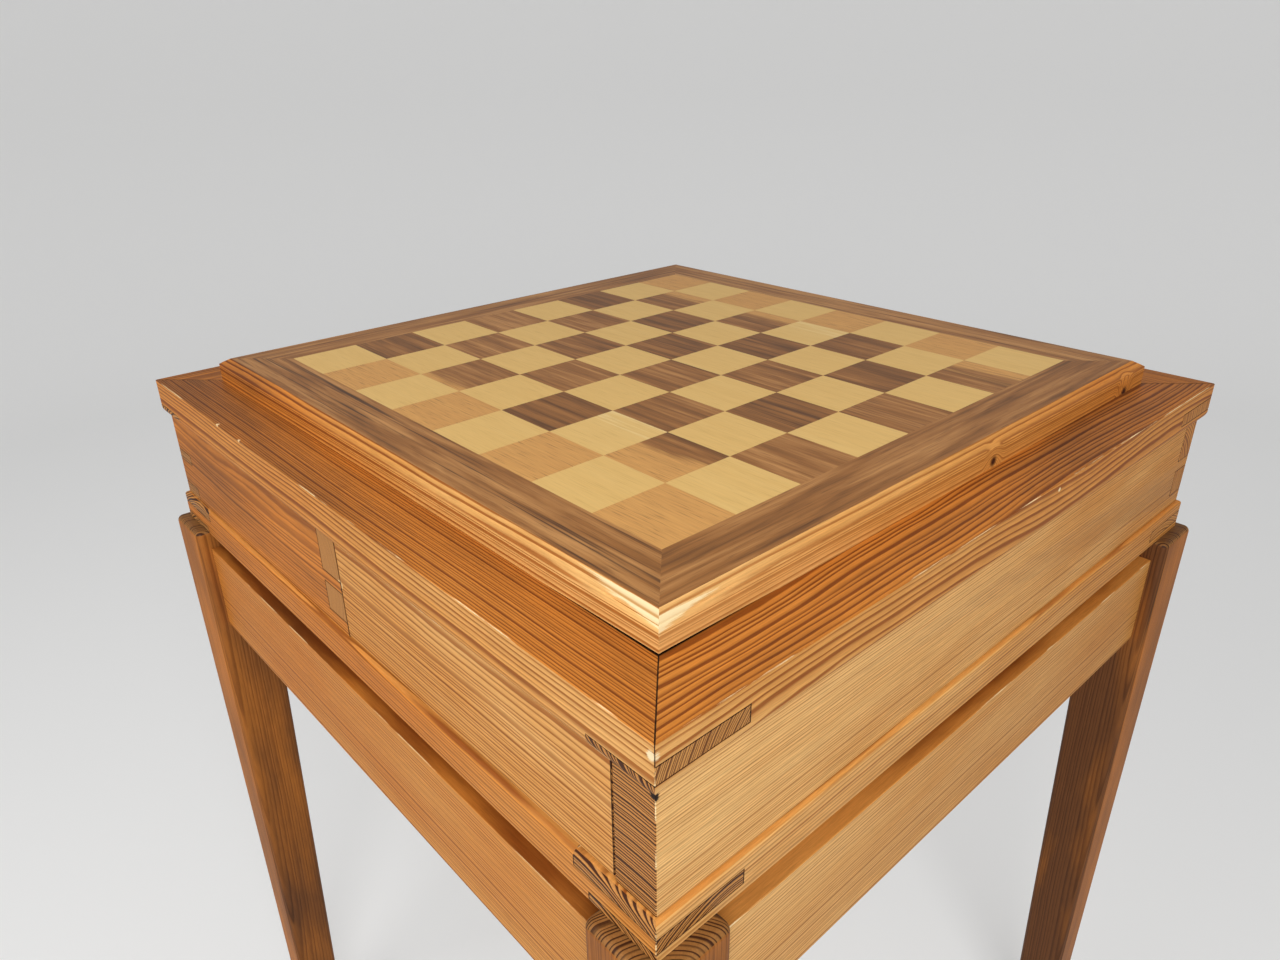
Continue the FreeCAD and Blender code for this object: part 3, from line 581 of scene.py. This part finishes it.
def veneer_material(name, heart, sap, pore_code, swing, fibre_swing):
    """A veneer. heart holds the light, middle and dark colour of the figure."""
    material, tree, shader = new_material(name, roughness=0.5, gloss=0.2)
    place = add(tree, "Attribute", attribute_name="tree").outputs["Vector"]
    tone = add(tree, "Attribute", attribute_name="tone").outputs["Fac"]
    sapwood = add(tree, "Attribute", attribute_name="sapwood").outputs["Fac"]
    streak = add(tree, "Attribute", attribute_name="streak").outputs["Fac"]
    figure_place = add(tree, "Mapping", {"Vector": place, "Scale": FIGURE})
    figure = add(tree, "TexNoise", {"Vector": figure_place, "Scale": 1.0, "Detail": 3.0, "Distortion": 0.5})
    stripe_place = add(tree, "Mapping", {"Vector": place, "Scale": STRIPE})
    stripe = add(tree, "TexNoise", {"Vector": stripe_place, "Scale": 1.0, "Detail": 2.0})
    fibre_place = add(tree, "Mapping", {"Vector": place, "Scale": FIBRE})
    fibre = add(tree, "TexNoise", {"Vector": fibre_place, "Scale": 1.0, "Detail": 2.0})
    mixed = add(tree, "Mix", {"Factor": 0.35, "A": figure.outputs["Fac"], "B": stripe.outputs["Fac"]})
    span = {"From Min": 0.32, "From Max": 0.68, "To Min": -swing, "To Max": swing}
    part = add(tree, "MapRange", {"Value": mixed, **span})
    depth = add(tree, "Math", {0: tone, 1: part}, operation="ADD", use_clamp=True)
    brown = add(tree, "ValToRGB", {"Fac": depth})
    brown.color_ramp.elements[0].color = linear(heart[0])
    brown.color_ramp.elements[1].color = linear(heart[2])
    brown.color_ramp.elements.new(0.5).color = linear(heart[1])
    ragged = add(tree, "Math", {0: mixed, 1: sapwood}, operation="ADD")
    pale = add(tree, "MapRange", {"Value": ragged, "From Min": 0.93, "From Max": 1.07})
    sap_look = {"Factor": mixed, "A": linear(sap[0]), "B": linear(sap[1])}
    sap_colour = add(tree, "Mix", sap_look, data_type="RGBA")
    wood = add(tree, "Mix", {"Factor": pale, "A": brown, "B": sap_colour}, data_type="RGBA")
    pores = add(tree, "MapRange", {"Value": fibre, "From Min": 0.6, "From Max": 0.74})
    pore_part = add(tree, "Math", {0: pores, 1: 0.5}, operation="MULTIPLY")
    wood = add(tree, "Mix", {"Factor": pore_part, "A": wood, "B": linear(pore_code)}, data_type="RGBA")
    dark_line = add(tree, "MapRange", {"Value": stripe, "From Min": 0.56, "From Max": 0.66})
    dark_part = add(tree, "Math", {0: dark_line, 1: streak}, operation="MULTIPLY", use_clamp=True)
    streaked = {"Factor": dark_part, "A": wood, "B": linear(BLACK_STREAK)}
    wood = add(tree, "Mix", streaked, data_type="RGBA")
    span = {"From Min": 0.25, "From Max": 0.75, "To Min": 1 + fibre_swing, "To Max": 1 - fibre_swing}
    shade_part = add(tree, "MapRange", {"Value": fibre, **span})
    shade = add(tree, "CombineColor", {0: shade_part, 1: shade_part, 2: shade_part})
    wood = add(tree, "Mix", {"Factor": 1.0, "A": wood, "B": shade}, data_type="RGBA", blend_type="MULTIPLY")
    use(tree, shader, wood, fibre, strength=0.12, depth_mm=0.05)
    return material


WALNUT = veneer_material(
    "Varnished Walnut Veneer", heart=("#bd8850", "#956232", "#66401f"), sap=("#d8a25c", "#c28a4b"),
    pore_code="#5d3b21", swing=0.42, fibre_swing=0.12,
)
MAPLE = veneer_material(
    "Varnished Maple Veneer", heart=("#e4bf7a", "#deb56d", "#d2a65d"), sap=("#ecce90", "#e6c382"),
    pore_code="#cda15a", swing=0.14, fibre_swing=0.05,
)
print("veneer nodes:", len(WALNUT.node_tree.nodes))

# %% [markdown]
# ## Boards
#
# Every board is a copy of its CAD node with its triangles merged to whole faces and its arrises
# broken by a third of a millimetre, as sandpaper leaves them. Where two boards meet, the two broken
# arrises are painted dark, as dirt and shade, and make the fine dark line that shows a joint.

# %% Copies with broken arrises
ARRIS = 0.35 * MM
ARRIS_WEAR = 0.4
TOUCHING = 1.0 * MM
HAIR = 0.001 * MM
SHORTEST_ARRIS = 4 * MM
SHARP = math.radians(35)
CREASE = math.radians(28)


def surface_of(node):
    """A search tree of a node's surface, to ask what lies next to a place."""
    mesh = NODES[node].data
    return BVHTree.FromPolygons([v.co for v in mesh.vertices], [p.vertices for p in mesh.polygons])


SURFACES = {node: surface_of(node) for node in NODES}


def meets_another(place, node):
    """Whether another node's surface lies next to this place."""
    others = (surface for name, surface in SURFACES.items() if name != node)
    return any(surface.find_nearest(place, TOUCHING)[0] is not None for surface in others)


def board_copy(node, arris=ARRIS):
    """A clean copy of a CAD node with broken arrises: dirt and painted shade in a joint, worn where free.
    """
    mesh = NODES[node].data.copy()
    mesh.materials.clear()
    shape = bmesh.new()
    shape.from_mesh(mesh)
    dirt_and_shade = shape.faces.layers.float.new("dirt_and_shade")
    worn = shape.faces.layers.float.new("worn")
    bmesh.ops.remove_doubles(shape, verts=shape.verts, dist=HAIR)
    bmesh.ops.dissolve_limit(shape, angle_limit=math.radians(1), verts=shape.verts, edges=shape.edges)
    sharp = [
        edge for edge in shape.edges
        if edge.calc_length() > SHORTEST_ARRIS and edge.calc_face_angle(0) > SHARP
    ]
    if arris:
        made = bmesh.ops.bevel(shape, geom=sharp, offset=arris, segments=1, profile=0.5, affect="EDGES")
        # Arrises in a joint get dirt and painted shade, free ones get wear.
        for face in made["faces"]:
            joined = meets_another(face.calc_center_median(), node)
            face[dirt_and_shade] = 1.0 if joined else 0.0
            face[worn] = 0.0 if joined else ARRIS_WEAR
    shape.to_mesh(mesh)
    shape.free()
    piece = bpy.data.objects.new(f"{node}_board", mesh)
    bpy.context.scene.collection.objects.link(piece)
    mesh.shade_smooth()
    mesh.set_sharp_from_angle(angle=CREASE)
    return piece


def stand_for(piece, node, material):
    """Let a finished piece take the place of a CAD node."""
    piece.data.materials.append(material)
    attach(piece, NODES[node]["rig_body"])
    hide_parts(node)


# %% Pine boards
HALF_FRAME = 278.0
# A face whose normal rises this far is an upper one, and upper faces get a smaller share of the
# painted shade at the far corners.
UPPER = 0.6
UPPER_FAR_SHADE_SHARE = 0.6
# The share of end grain that shows on boards whose ends took less oil.
PALE_ENDS = {
    "top_frame_rear": 0.35, "bottom_frame_rear": 0.35, "rear_panel": 0.35, "rear_drawer_face": 0.35,
    "top_frame_front": 0.7,
}


def distance_share(place):
    """How far a place is from the near corner: 0 there, 1 at the two corners next to it."""
    return min(1.0, 1 - (place.x - place.y) / (2 * HALF_FRAME * MM))


def pine_board(node, trunk, outward, heart, ring, tones, wander=5, contrast=1.0, age=0.0):
    """A pine board. tones are those of upper faces and of all others, from 0, bare, to 1, dark.

    age is painted shade: how much darker it is at the far corners of the table, less so on top.
    """
    piece = board_copy(node)
    mesh = piece.data
    saw(mesh, trunk, outward, heart, metres_up(node))
    for name, value in (("ring_mm", ring), ("wander_mm", wander), ("contrast", contrast)):
        mark(mesh, name, value)
    for end in mesh.attributes["end_grain"].data:
        end.value *= PALE_ENDS.get(node, 1.0)
    shades = []
    # Darker towards the far corners: painted shade, a smaller share on upper faces.
    for face in mesh.polygons:
        on_top = face.normal.z > UPPER
        tone, far_shade = (tones[0], UPPER_FAR_SHADE_SHARE * age) if on_top else (tones[1], age)
        for corner in face.loop_indices:
            place = mesh.vertices[mesh.loops[corner].vertex_index].co
            shades.append(tone + far_shade * distance_share(place))
    mark(mesh, "tone", shades)
    stand_for(piece, node, CHIPPED_AND_SHADED_PINE if node in CHIPPED else PINE)
    return piece


# %% [markdown]
# ## Frames, case and legs
#
# Each board gets a heart, a ring width and tones of its own. The front of the top frame has close
# rings and its right side broad ones, which is what tells one side of their mitre from the other.

# %% Top frame
# Where the pith lies, width of a ring, tones on top and elsewhere, wander, contrast, and the
# painted shade at the far corners.
TOP_FRAME = {
    "front": ((-90, -52), 1.4, (0.68, 0.24), 3.5, 1.15, 0.38),
    "right": ((-52, -44), 2.5, (0.62, 0.2), 9, 1.5, 0.43),
    "rear": ((-90, -10), 2.6, (0.66, 0.3), 5, 1.0, 0.2),
    "left": ((-20, -60), 2.8, (0.66, 0.3), 8, 1.1, 0.2),
}
for side, how in TOP_FRAME.items():
    pine_board(f"top_frame_{side}", trunk_of(side), OUTWARD[side], *how)
print("top frame members:", len(TOP_FRAME))

# %% Case
# Side, and then the same values as for the top frame.
CASE = {
    "right_web": ("right", (0, -170), 1.7, (0.3, 0.06), 3, 0.9, 0.3),
    "left_web": ("left", (5, -150), 1.5, (0.3, 0.2), 4, 0.8, 0.3),
    "front_panel": ("front", (-44, 40), 2.1, (0.68, 0.68), 8, 1.0, 0.1),
    "rear_panel": ("rear", (-30, -8), 2.5, (0.4, 0.3), 7, 1.0, 0.2),
    "front_drawer_face": ("front", (-30, 42), 1.9, (0.27, 0.27), 6, 1.35, 0.15),
    "rear_drawer_face": ("rear", (-40, 5), 2.4, (0.4, 0.25), 6, 1.0, 0.2),
}
for node, (side, *how) in CASE.items():
    pine_board(node, trunk_of(side), OUTWARD[side], *how)
pine_board("partition", ALONG_Y, ALONG_X, (-60, 0), 2.2, (0.7, 0.7), wander=4, contrast=0.15)
print("case boards:", len(CASE) + 1)

# %% Bottom frame and aprons
for side in OUTWARD:
    dice = random.Random(side)
    heart = (-30 + 20 * dice.random(), -45 - 40 * dice.random())
    long_way = trunk_of(side), OUTWARD[side]
    low_tone = 0.52 if side == "front" else 0.16
    pine_board(f"bottom_frame_{side}", *long_way, heart, 2.0, (0.4, low_tone), age=0.25)
    apron_tones = (0.65, 0.42) if side == "front" else (0.5, 0.13)
    pine_board(f"apron_{side}", *long_way, (10, -190), 2.0, apron_tones, wander=4, age=0.25)
print("low members:", 2 * len(OUTWARD))

# %% Legs
# Legs took the most oil. Their inner faces are mostly painted darker than the outer ones: painted shade
# under the table.
OUTER_LEAN = 0.5
LEG_TONES = {
    "front_left": (0.8, 0.92), "front_right": (0.9, 0.9),
    "rear_right": (0.8, 1.0), "rear_left": (0.85, 0.92),
}
for corner, (outer_tone, shaded_inner_tone) in LEG_TONES.items():
    dice = random.Random(corner)
    heart = (20 + 25 * dice.random(), 20 + 25 * dice.random())
    leg = pine_board(f"leg_{corner}", UP, ALONG_X, heart, 2.2, (shaded_inner_tone, shaded_inner_tone), contrast=0.6).data
    middle = sum((point.co for point in leg.vertices), Vector()) / len(leg.vertices)
    away = Vector((middle.x, middle.y, 0)).normalized()
    # Outer faces get the lighter tone; the inner ones keep the painted shade.
    for face in leg.polygons:
        if face.normal.dot(away) > OUTER_LEAN:
            for at in face.loop_indices:
                leg.attributes["tone"].data[at].value = outer_tone
print("legs:", len(LEG_TONES))

# %% [markdown]
# ## The walnut border
#
# Four strips of walnut veneer, mitred at the corners, run round the squares. The grain follows
# each strip, so the light falls on it differently on either side of a mitre.

# %% Border
# Depth of colour and black streaks of each strip.
BORDER_LOOK = {"front": (0.4, 0.75), "right": (0.5, 0.15), "rear": (0.3, 0.45), "left": (0.4, 0.4)}
for side, (tone, streak) in BORDER_LOOK.items():
    node = f"border_{side}"
    border = board_copy(node, arris=0)
    saw(border.data, trunk_of(side), OUTWARD[side], (-200, 0), metres_up(node))
    mark(border.data, "tone", tone)
    mark(border.data, "streak", streak)
    stand_for(border, node, WALNUT)
print("border strips:", len(BORDER_LOOK))

# %% [markdown]
# ## The edging
#
# A strip of pine covers the edge of the board. Its top slopes outwards, its arris is rounded by
# wear, and next to the near corner the skin is gone and the wood shows nearly white. There the
# strip has also shrunk and stands a little off the frame below, and the black line in that gap is
# painted shadow and dirt on the frame.
# The strip is drawn as a row of sections, so that wear can change from one to the next.

# %% Section and wear of the edging
EDGING_INNER = 234.0
BOARD_TOP = 740.0
SLOPE_FOOT = 736.0
BOARD_FOOT = 723.0
STATIONS = 96
# How far the foot rises at the near corner, and over which length.
LIFT = 1.3
LIFT_LENGTH = 75.0
# Tone next to the near corner, and the painted shade added over the length away from it.
EDGING_TONES = {"front": (0.14, 0.56), "right": (0.1, 0.48), "rear": (0.5, 0.0), "left": (0.5, 0.0)}
FAR_SHADE_LENGTH = 420
FAR_AWAY = 999.0


def edging_section(worn):
    """Points from the foot inside, over the top, to the foot outside: distance and height."""
    yield EDGING_INNER, BOARD_FOOT
    yield EDGING_INNER, BOARD_TOP
    radius = 1.2 + 1.4 * worn
    for step in (0.12, 0.25, 0.4, 0.55, 0.7):
        reach = step * (EDGING_OUTER - EDGING_INNER)
        yield EDGING_INNER + reach, BOARD_TOP - step * (BOARD_TOP - SLOPE_FOOT) - 0.3 * worn * step
    for turn in (0.15, 0.4, 0.65, 0.9):
        angle = turn * math.pi / 2
        inset = radius * (1 - math.sin(angle)), radius * (1 - math.cos(angle)) * 0.9
        yield EDGING_OUTER - inset[0], SLOPE_FOOT + 0.35 - inset[1] - 0.2 * worn
    for height in (731.0, 728.0, 725.0):
        yield EDGING_OUTER, height
    yield EDGING_OUTER, BOARD_FOOT


def wear_at(side, from_corner, over):
    """How bare the wood is, by the distance from the near corner and down from the border."""
    if side == "front":
        inside = min(8.0 - from_corner * 0.12 - over, (66 - from_corner) / 8)
    elif side == "right":
        inside = min(9.0 - from_corner * 0.12 - over, over - 3.4, 42 - from_corner)
    else:
        return 0.0
    return 0.46 + 0.12 * max(-4.0, min(4.0, inside))


# %% Edging
def make_edging(side):
    """One strip of the edging, in place of its CAD node."""
    trunk, outward = trunk_of(side), OUTWARD[side]
    near_tone, far_shade = EDGING_TONES[side]
    toward = {"front": 1, "right": -1}.get(side, 0)
    shape = bmesh.new()
    worn_layer = shape.verts.layers.float.new("worn")
    tone_layer = shape.verts.layers.float.new("tone")
    rows = []
    for station in range(STATIONS + 1):
        # Stations crowd together towards the near corner, where the wear is.
        step = station / STATIONS
        crowded = 1 - (1 - step) ** 2 if toward > 0 else step ** 2
        share = 2 * (crowded if toward else step) - 1
        from_corner = EDGING_OUTER * (1 - share * toward) if toward else FAR_AWAY
        nearness = max(0.0, 1 - from_corner / LIFT_LENGTH)
        far = min(1.0, from_corner / FAR_SHADE_LENGTH)
        row = []
        over = 0.0
        before = None
        for number, (distance, height) in enumerate(edging_section(min(1.0, nearness * 1.6))):
            if height == BOARD_FOOT:
                height += LIFT * nearness ** 0.5
            place = trunk * (share * distance) + outward * distance + UP * height
            vert = shape.verts.new(place * MM)
            # The first two points lie under the border, where nothing wears.
            if number > 1:
                over += math.hypot(distance - before[0], height - before[1])
            before = (distance, height)
            vert[worn_layer] = wear_at(side, from_corner, over) if number > 1 else 0.0
            # Painted shade grows away from the near corner.
            vert[tone_layer] = near_tone + far_shade * far
            row.append(vert)
        rows.append(row)
    for low, high in zip(rows, rows[1:]):
        for first in range(len(low)):
            second = (first + 1) % len(low)
            shape.faces.new((low[first], low[second], high[second], high[first]))
    shape.faces.new(rows[0][::-1])
    shape.faces.new(rows[-1])
    bmesh.ops.recalc_face_normals(shape, faces=shape.faces)
    mesh = bpy.data.meshes.new(f"edging_{side}_strip")
    shape.to_mesh(mesh)
    shape.free()
    mesh.shade_smooth()
    mesh.set_sharp_from_angle(angle=math.radians(32))
    saw(mesh, trunk, outward, (-70, -60), metres_up(f"edging_{side}"))
    contrast = 0.8 if side == "right" else 1.4
    for name, value in (("ring_mm", 1.3), ("wander_mm", 2.0), ("contrast", contrast)):
        mark(mesh, name, value)
    strip = bpy.data.objects.new(f"edging_{side}_strip", mesh)
    bpy.context.scene.collection.objects.link(strip)
    stand_for(strip, f"edging_{side}", KNOTTY_PINE if side == "right" else PINE)


for side in OUTWARD:
    make_edging(side)
print("sections in each strip:", STATIONS + 1)

# %% [markdown]
# ## The squares
#
# Sixty-four squares of veneer repeat on a grid, which is work for Geometry Nodes: a grid of points
# stands for the middles of the squares, every other point gets a tile, and each tile picks its own
# place in the tree, so that no two show the same grain.

# %% Tree for the squares
def squares_tree():
    """Half the squares of a board, as tiles on every other point of a grid."""
    tree = bpy.data.node_groups.new("Squares", "GeometryNodeTree")
    face = tree.interface
    face.new_socket("Geometry", in_out="OUTPUT", socket_type="NodeSocketGeometry")
    for name, kind in (
        ("Square", "NodeSocketFloat"), ("Thickness", "NodeSocketFloat"), ("Top", "NodeSocketFloat"),
        ("Odd", "NodeSocketFloat"), ("Seed", "NodeSocketInt"), ("Material", "NodeSocketMaterial"),
    ):
        face.new_socket(name, in_out="INPUT", socket_type=kind)
    start = tree.nodes.new("NodeGroupInput").outputs
    end = tree.nodes.new("NodeGroupOutput")

    # Eight by eight points, of which every other one is chosen, row by row in turn.
    width = add(tree, "Math", {0: start["Square"], 1: 7.0}, operation="MULTIPLY")
    size = {"Size X": width, "Size Y": width, "Vertices X": 8, "Vertices Y": 8}
    grid = add(tree, "GeometryNodeMeshGrid", size)
    number = add(tree, "GeometryNodeInputIndex")
    eighth = add(tree, "Math", {0: number, 1: 8.0}, operation="DIVIDE")
    column = add(tree, "Math", {0: eighth}, operation="FLOOR")
    total = add(tree, "Math", {0: number, 1: column}, operation="ADD")
    parity = add(tree, "Math", {0: total, 1: 2.0}, operation="MODULO")
    difference = add(tree, "Math", {0: parity, 1: start["Odd"]}, operation="SUBTRACT")
    apart = add(tree, "Math", {0: difference}, operation="ABSOLUTE")
    chosen = add(tree, "Math", {0: apart, 1: 0.5}, operation="LESS_THAN")

    # One tile for each chosen point, with its own slide along and across the tree.
    tile_size = add(tree, "CombineXYZ", {0: start["Square"], 1: start["Square"], 2: start["Thickness"]})
    tile = add(tree, "GeometryNodeMeshCube", {"Size": tile_size})
    placed = {"Points": grid, "Selection": chosen, "Instance": tile}
    tiles = add(tree, "GeometryNodeInstanceOnPoints", placed)
    spread = {0: (-4000.0, -90.0, -90.0), 1: (4000.0, 90.0, 90.0), "Seed": start["Seed"]}
    slide = add(tree, "FunctionNodeRandomValue", spread, data_type="FLOAT_VECTOR")
    stored = {"Geometry": tiles, "Name": "slide", "Value": slide}
    kept = {"data_type": "FLOAT_VECTOR", "domain": "INSTANCE"}
    tiles = add(tree, "GeometryNodeStoreNamedAttribute", stored, **kept)
    tiles = add(tree, "GeometryNodeRealizeInstances", {"Geometry": tiles})

    half = add(tree, "Math", {0: start["Thickness"], 1: 2.0}, operation="DIVIDE")
    level = add(tree, "Math", {0: start["Top"], 1: half}, operation="SUBTRACT")
    lift = add(tree, "CombineXYZ", {2: level})
    tiles = add(tree, "GeometryNodeTransform", {"Geometry": tiles, "Translation": lift})
    finished = {"Geometry": tiles, "Material": start["Material"]}
    tiles = add(tree, "GeometryNodeSetMaterial", finished)
    tree.links.new(tiles.outputs["Geometry"], end.inputs["Geometry"])
    return tree


SQUARES = squares_tree()
SOCKETS = {item.name: item.identifier for item in SQUARES.interface.items_tree if item.in_out == "INPUT"}
print("inputs of the tree:", ", ".join(SOCKETS))


# %% Light and dark squares
SQUARE = 50
VENEER = 3
HALF_FIELD = 200


def make_squares(node, odd, material, seed):
    """All squares of one colour, as one plain mesh."""
    holder = bpy.data.objects.new(f"{node}_points", bpy.data.meshes.new(f"{node}_points"))
    bpy.context.scene.collection.objects.link(holder)
    modifier = holder.modifiers.new("Squares", "NODES")
    modifier.node_group = SQUARES
    values = {
        "Square": SQUARE * MM, "Thickness": VENEER * MM, "Top": BOARD_TOP * MM,
        "Odd": odd, "Seed": seed, "Material": material,
    }
    for name, value in values.items():
        modifier[SOCKETS[name]] = value
    depsgraph = bpy.context.evaluated_depsgraph_get()
    mesh = bpy.data.meshes.new_from_object(holder.evaluated_get(depsgraph))
    holder.modifiers.clear()
    bpy.data.objects.remove(holder)
    squares = bpy.data.objects.new(f"{node}_tiles", mesh)
    bpy.context.scene.collection.objects.link(squares)
    return squares


# %% Looks of the squares
# Depth of colour, black streaks, and sapwood at the near and at the far edge: of the rows of dark
# squares, and of single squares by their column and row from the front left corner.
ROW_LOOK = {
    0: (0.3, 0, 1, 1), 1: (0.7, 0.15, 0, 0), 2: (0.4, 0, 0, 0), 3: (0.48, 0, 0, 0),
    4: (0.5, 0.1, 0, 0), 5: (0.72, 0.05, 0, 0), 6: (0.6, 0.05, 0, 0), 7: (0.3, 0, 1, 1),
}
DARK_LOOK = {
    (2, 1): (0.5, 0.1, 0.55, 0), (6, 1): (0.65, 0.1, 0.9, 0.2), (5, 2): (0.55, 0.1, 0, 0),
    (0, 3): (0.35, 0, 0.2, 0.2), (2, 3): (0.55, 0.2, 0, 0), (6, 3): (0.65, 0.5, 0, 0),
    (3, 4): (0.62, 0.3, 0, 0), (7, 4): (0.42, 0.4, 0, 0), (1, 6): (0.6, 0.1, 0, 0.7),
    (3, 6): (0.6, 0.1, 0, 0.7), (7, 6): (0.6, 0.3, 0.1, 0.75),
}
LIGHT_LOOK = {(5, 1): (0.4, 0, 0.2, 0.55), (4, 6): (0.4, 0, 0.2, 0.55)}
PLAIN_MAPLE = (0.5, 0, 0, 0)


def look_of(column, row, odd):
    """The look of one square."""
    if odd:
        return DARK_LOOK.get((column, row), ROW_LOOK[row])
    return LIGHT_LOOK.get((column, row), PLAIN_MAPLE)


def place_in_tree(squares, odd):
    """Give every tile its place in the tree, its depth of colour, its streaks and its sapwood."""
    mesh = squares.data
    slides = [item.vector for item in mesh.attributes["slide"].data]
    layer = mesh.attributes.new("tree", "FLOAT_VECTOR", "CORNER")
    places, tones, streaks, saps = [], [], [], []
    for face in mesh.polygons:
        # A hair inside the tile, so that its side faces count for it too.
        middle = (face.center - face.normal * HAIR) / MM
        counts = [int((middle[axis] + HALF_FIELD) // SQUARE) for axis in (0, 1)]
        column, row = [min(7, max(0, count)) for count in counts]
        tone, streak, near_sap, far_sap = look_of(column, row, odd)
        for corner in face.loop_indices:
            point = mesh.vertices[mesh.loops[corner].vertex_index]
            places += list(point.co / MM + slides[point.index])
            tones.append(tone)
            streaks.append(streak)
            far = (point.co.y / MM + HALF_FIELD) / SQUARE - row
            saps.append(near_sap + (far_sap - near_sap) * max(0.0, min(1.0, far)))
    layer.data.foreach_set("vector", places)
    for name, values in (("tone", tones), ("streak", streaks), ("sapwood", saps)):
        mark(mesh, name, values)


for node, odd, material, seed in (("light_squares", 0.0, MAPLE, 4), ("dark_squares", 1.0, WALNUT, 7)):
    squares = make_squares(node, odd, material, seed)
    place_in_tree(squares, odd)
    squares.data.materials.clear()
    stand_for(squares, node, material)
    print(node, len(squares.data.polygons), "faces")

# %% [markdown]
# ## Inside: plywood, drawers and small fittings
#
# The unseen boards are plainer. Drawer sides are bare pine. The board's core, the dust panel, the
# floors and the drawer bottoms are birch plywood, the dowels are beech, and the screws that hold
# the case are plated steel.

# %% Plain materials
def plain_wood(name, light, dark, scale):
    """A quiet wood for hidden pieces. scale counts its streaks to a metre, fewest along the grain."""
    material, tree, shader = new_material(name, roughness=0.6, gloss=0.3)
    where = add(tree, "TexCoord").outputs["Object"]
    shape = add(tree, "Mapping", {"Vector": where, "Scale": scale})
    grain = add(tree, "TexNoise", {"Vector": shape, "Scale": 1.0, "Detail": 3.0})
    part = add(tree, "MapRange", {"Value": grain, "From Min": 0.3, "From Max": 0.7})
    wood = add(tree, "Mix", {"Factor": part, "A": linear(light), "B": linear(dark)}, data_type="RGBA")
    use(tree, shader, wood, grain, strength=0.1, depth_mm=0.05)
    return material


# Birch plywood is cream and even, with a faint figure along its face veneer.
PLYWOOD = plain_wood("Birch Plywood", "#e3cda1", "#cfb283", (20, 400, 400))
# Beech is pinkish tan with very fine flecks along a turned dowel.
BEECH = plain_wood("Turned Beech", "#d9b58a", "#c49a6c", (500, 500, 30))


def steel_material():
    """Zinc plate: grey metal in which small crystals are a little lighter or darker."""
    material, tree, shader = new_material("Zinc Plated Steel", roughness=0.35)
    where = add(tree, "TexCoord").outputs["Object"]
    crystals = add(tree, "TexVoronoi", {"Vector": where, "Scale": 900.0}).outputs["Distance"]
    zinc = {"Factor": crystals, "A": linear("#c4c7ca"), "B": linear("#9fa3a8")}
    colour = add(tree, "Mix", zinc, data_type="RGBA")
    use(tree, shader, colour, crystals, strength=0.1, depth_mm=0.02)
    shader.inputs["Metallic"].default_value = 1.0
    return material


STEEL = steel_material()

# %% Hidden pieces
SHEETS = (
    "board_core", "dust_panel", "left_floor", "right_floor", "front_drawer_bottom", "rear_drawer_bottom",
)
HIDDEN = {**dict.fromkeys(SHEETS, PLYWOOD), "leg_dowels": BEECH, "case_screws": STEEL}
for node, material in HIDDEN.items():
    NODES[node].data.materials.clear()
    NODES[node].data.materials.append(material)
print("hidden pieces:", len(HIDDEN))

# %% Inner boards
INNER_BOARDS = {
    "board_cleats": ALONG_X, "centre_rail": ALONG_Y, "front_drawer_stops": ALONG_X,
    "rear_drawer_stops": ALONG_X, "front_drawer_left_side": ALONG_Y,
    "front_drawer_right_side": ALONG_Y, "front_drawer_back": ALONG_X,
    "rear_drawer_left_side": ALONG_Y, "rear_drawer_right_side": ALONG_Y,
    "rear_drawer_back": ALONG_X,
}
for node, trunk in INNER_BOARDS.items():
    dice = random.Random(node)
    heart = (-40 - 50 * dice.random(), -60 * dice.random())
    outward = ALONG_Y if trunk == ALONG_X else ALONG_X
    pine_board(node, trunk, outward, heart, 2.6, (0.15, 0.1), wander=6, contrast=0.7)
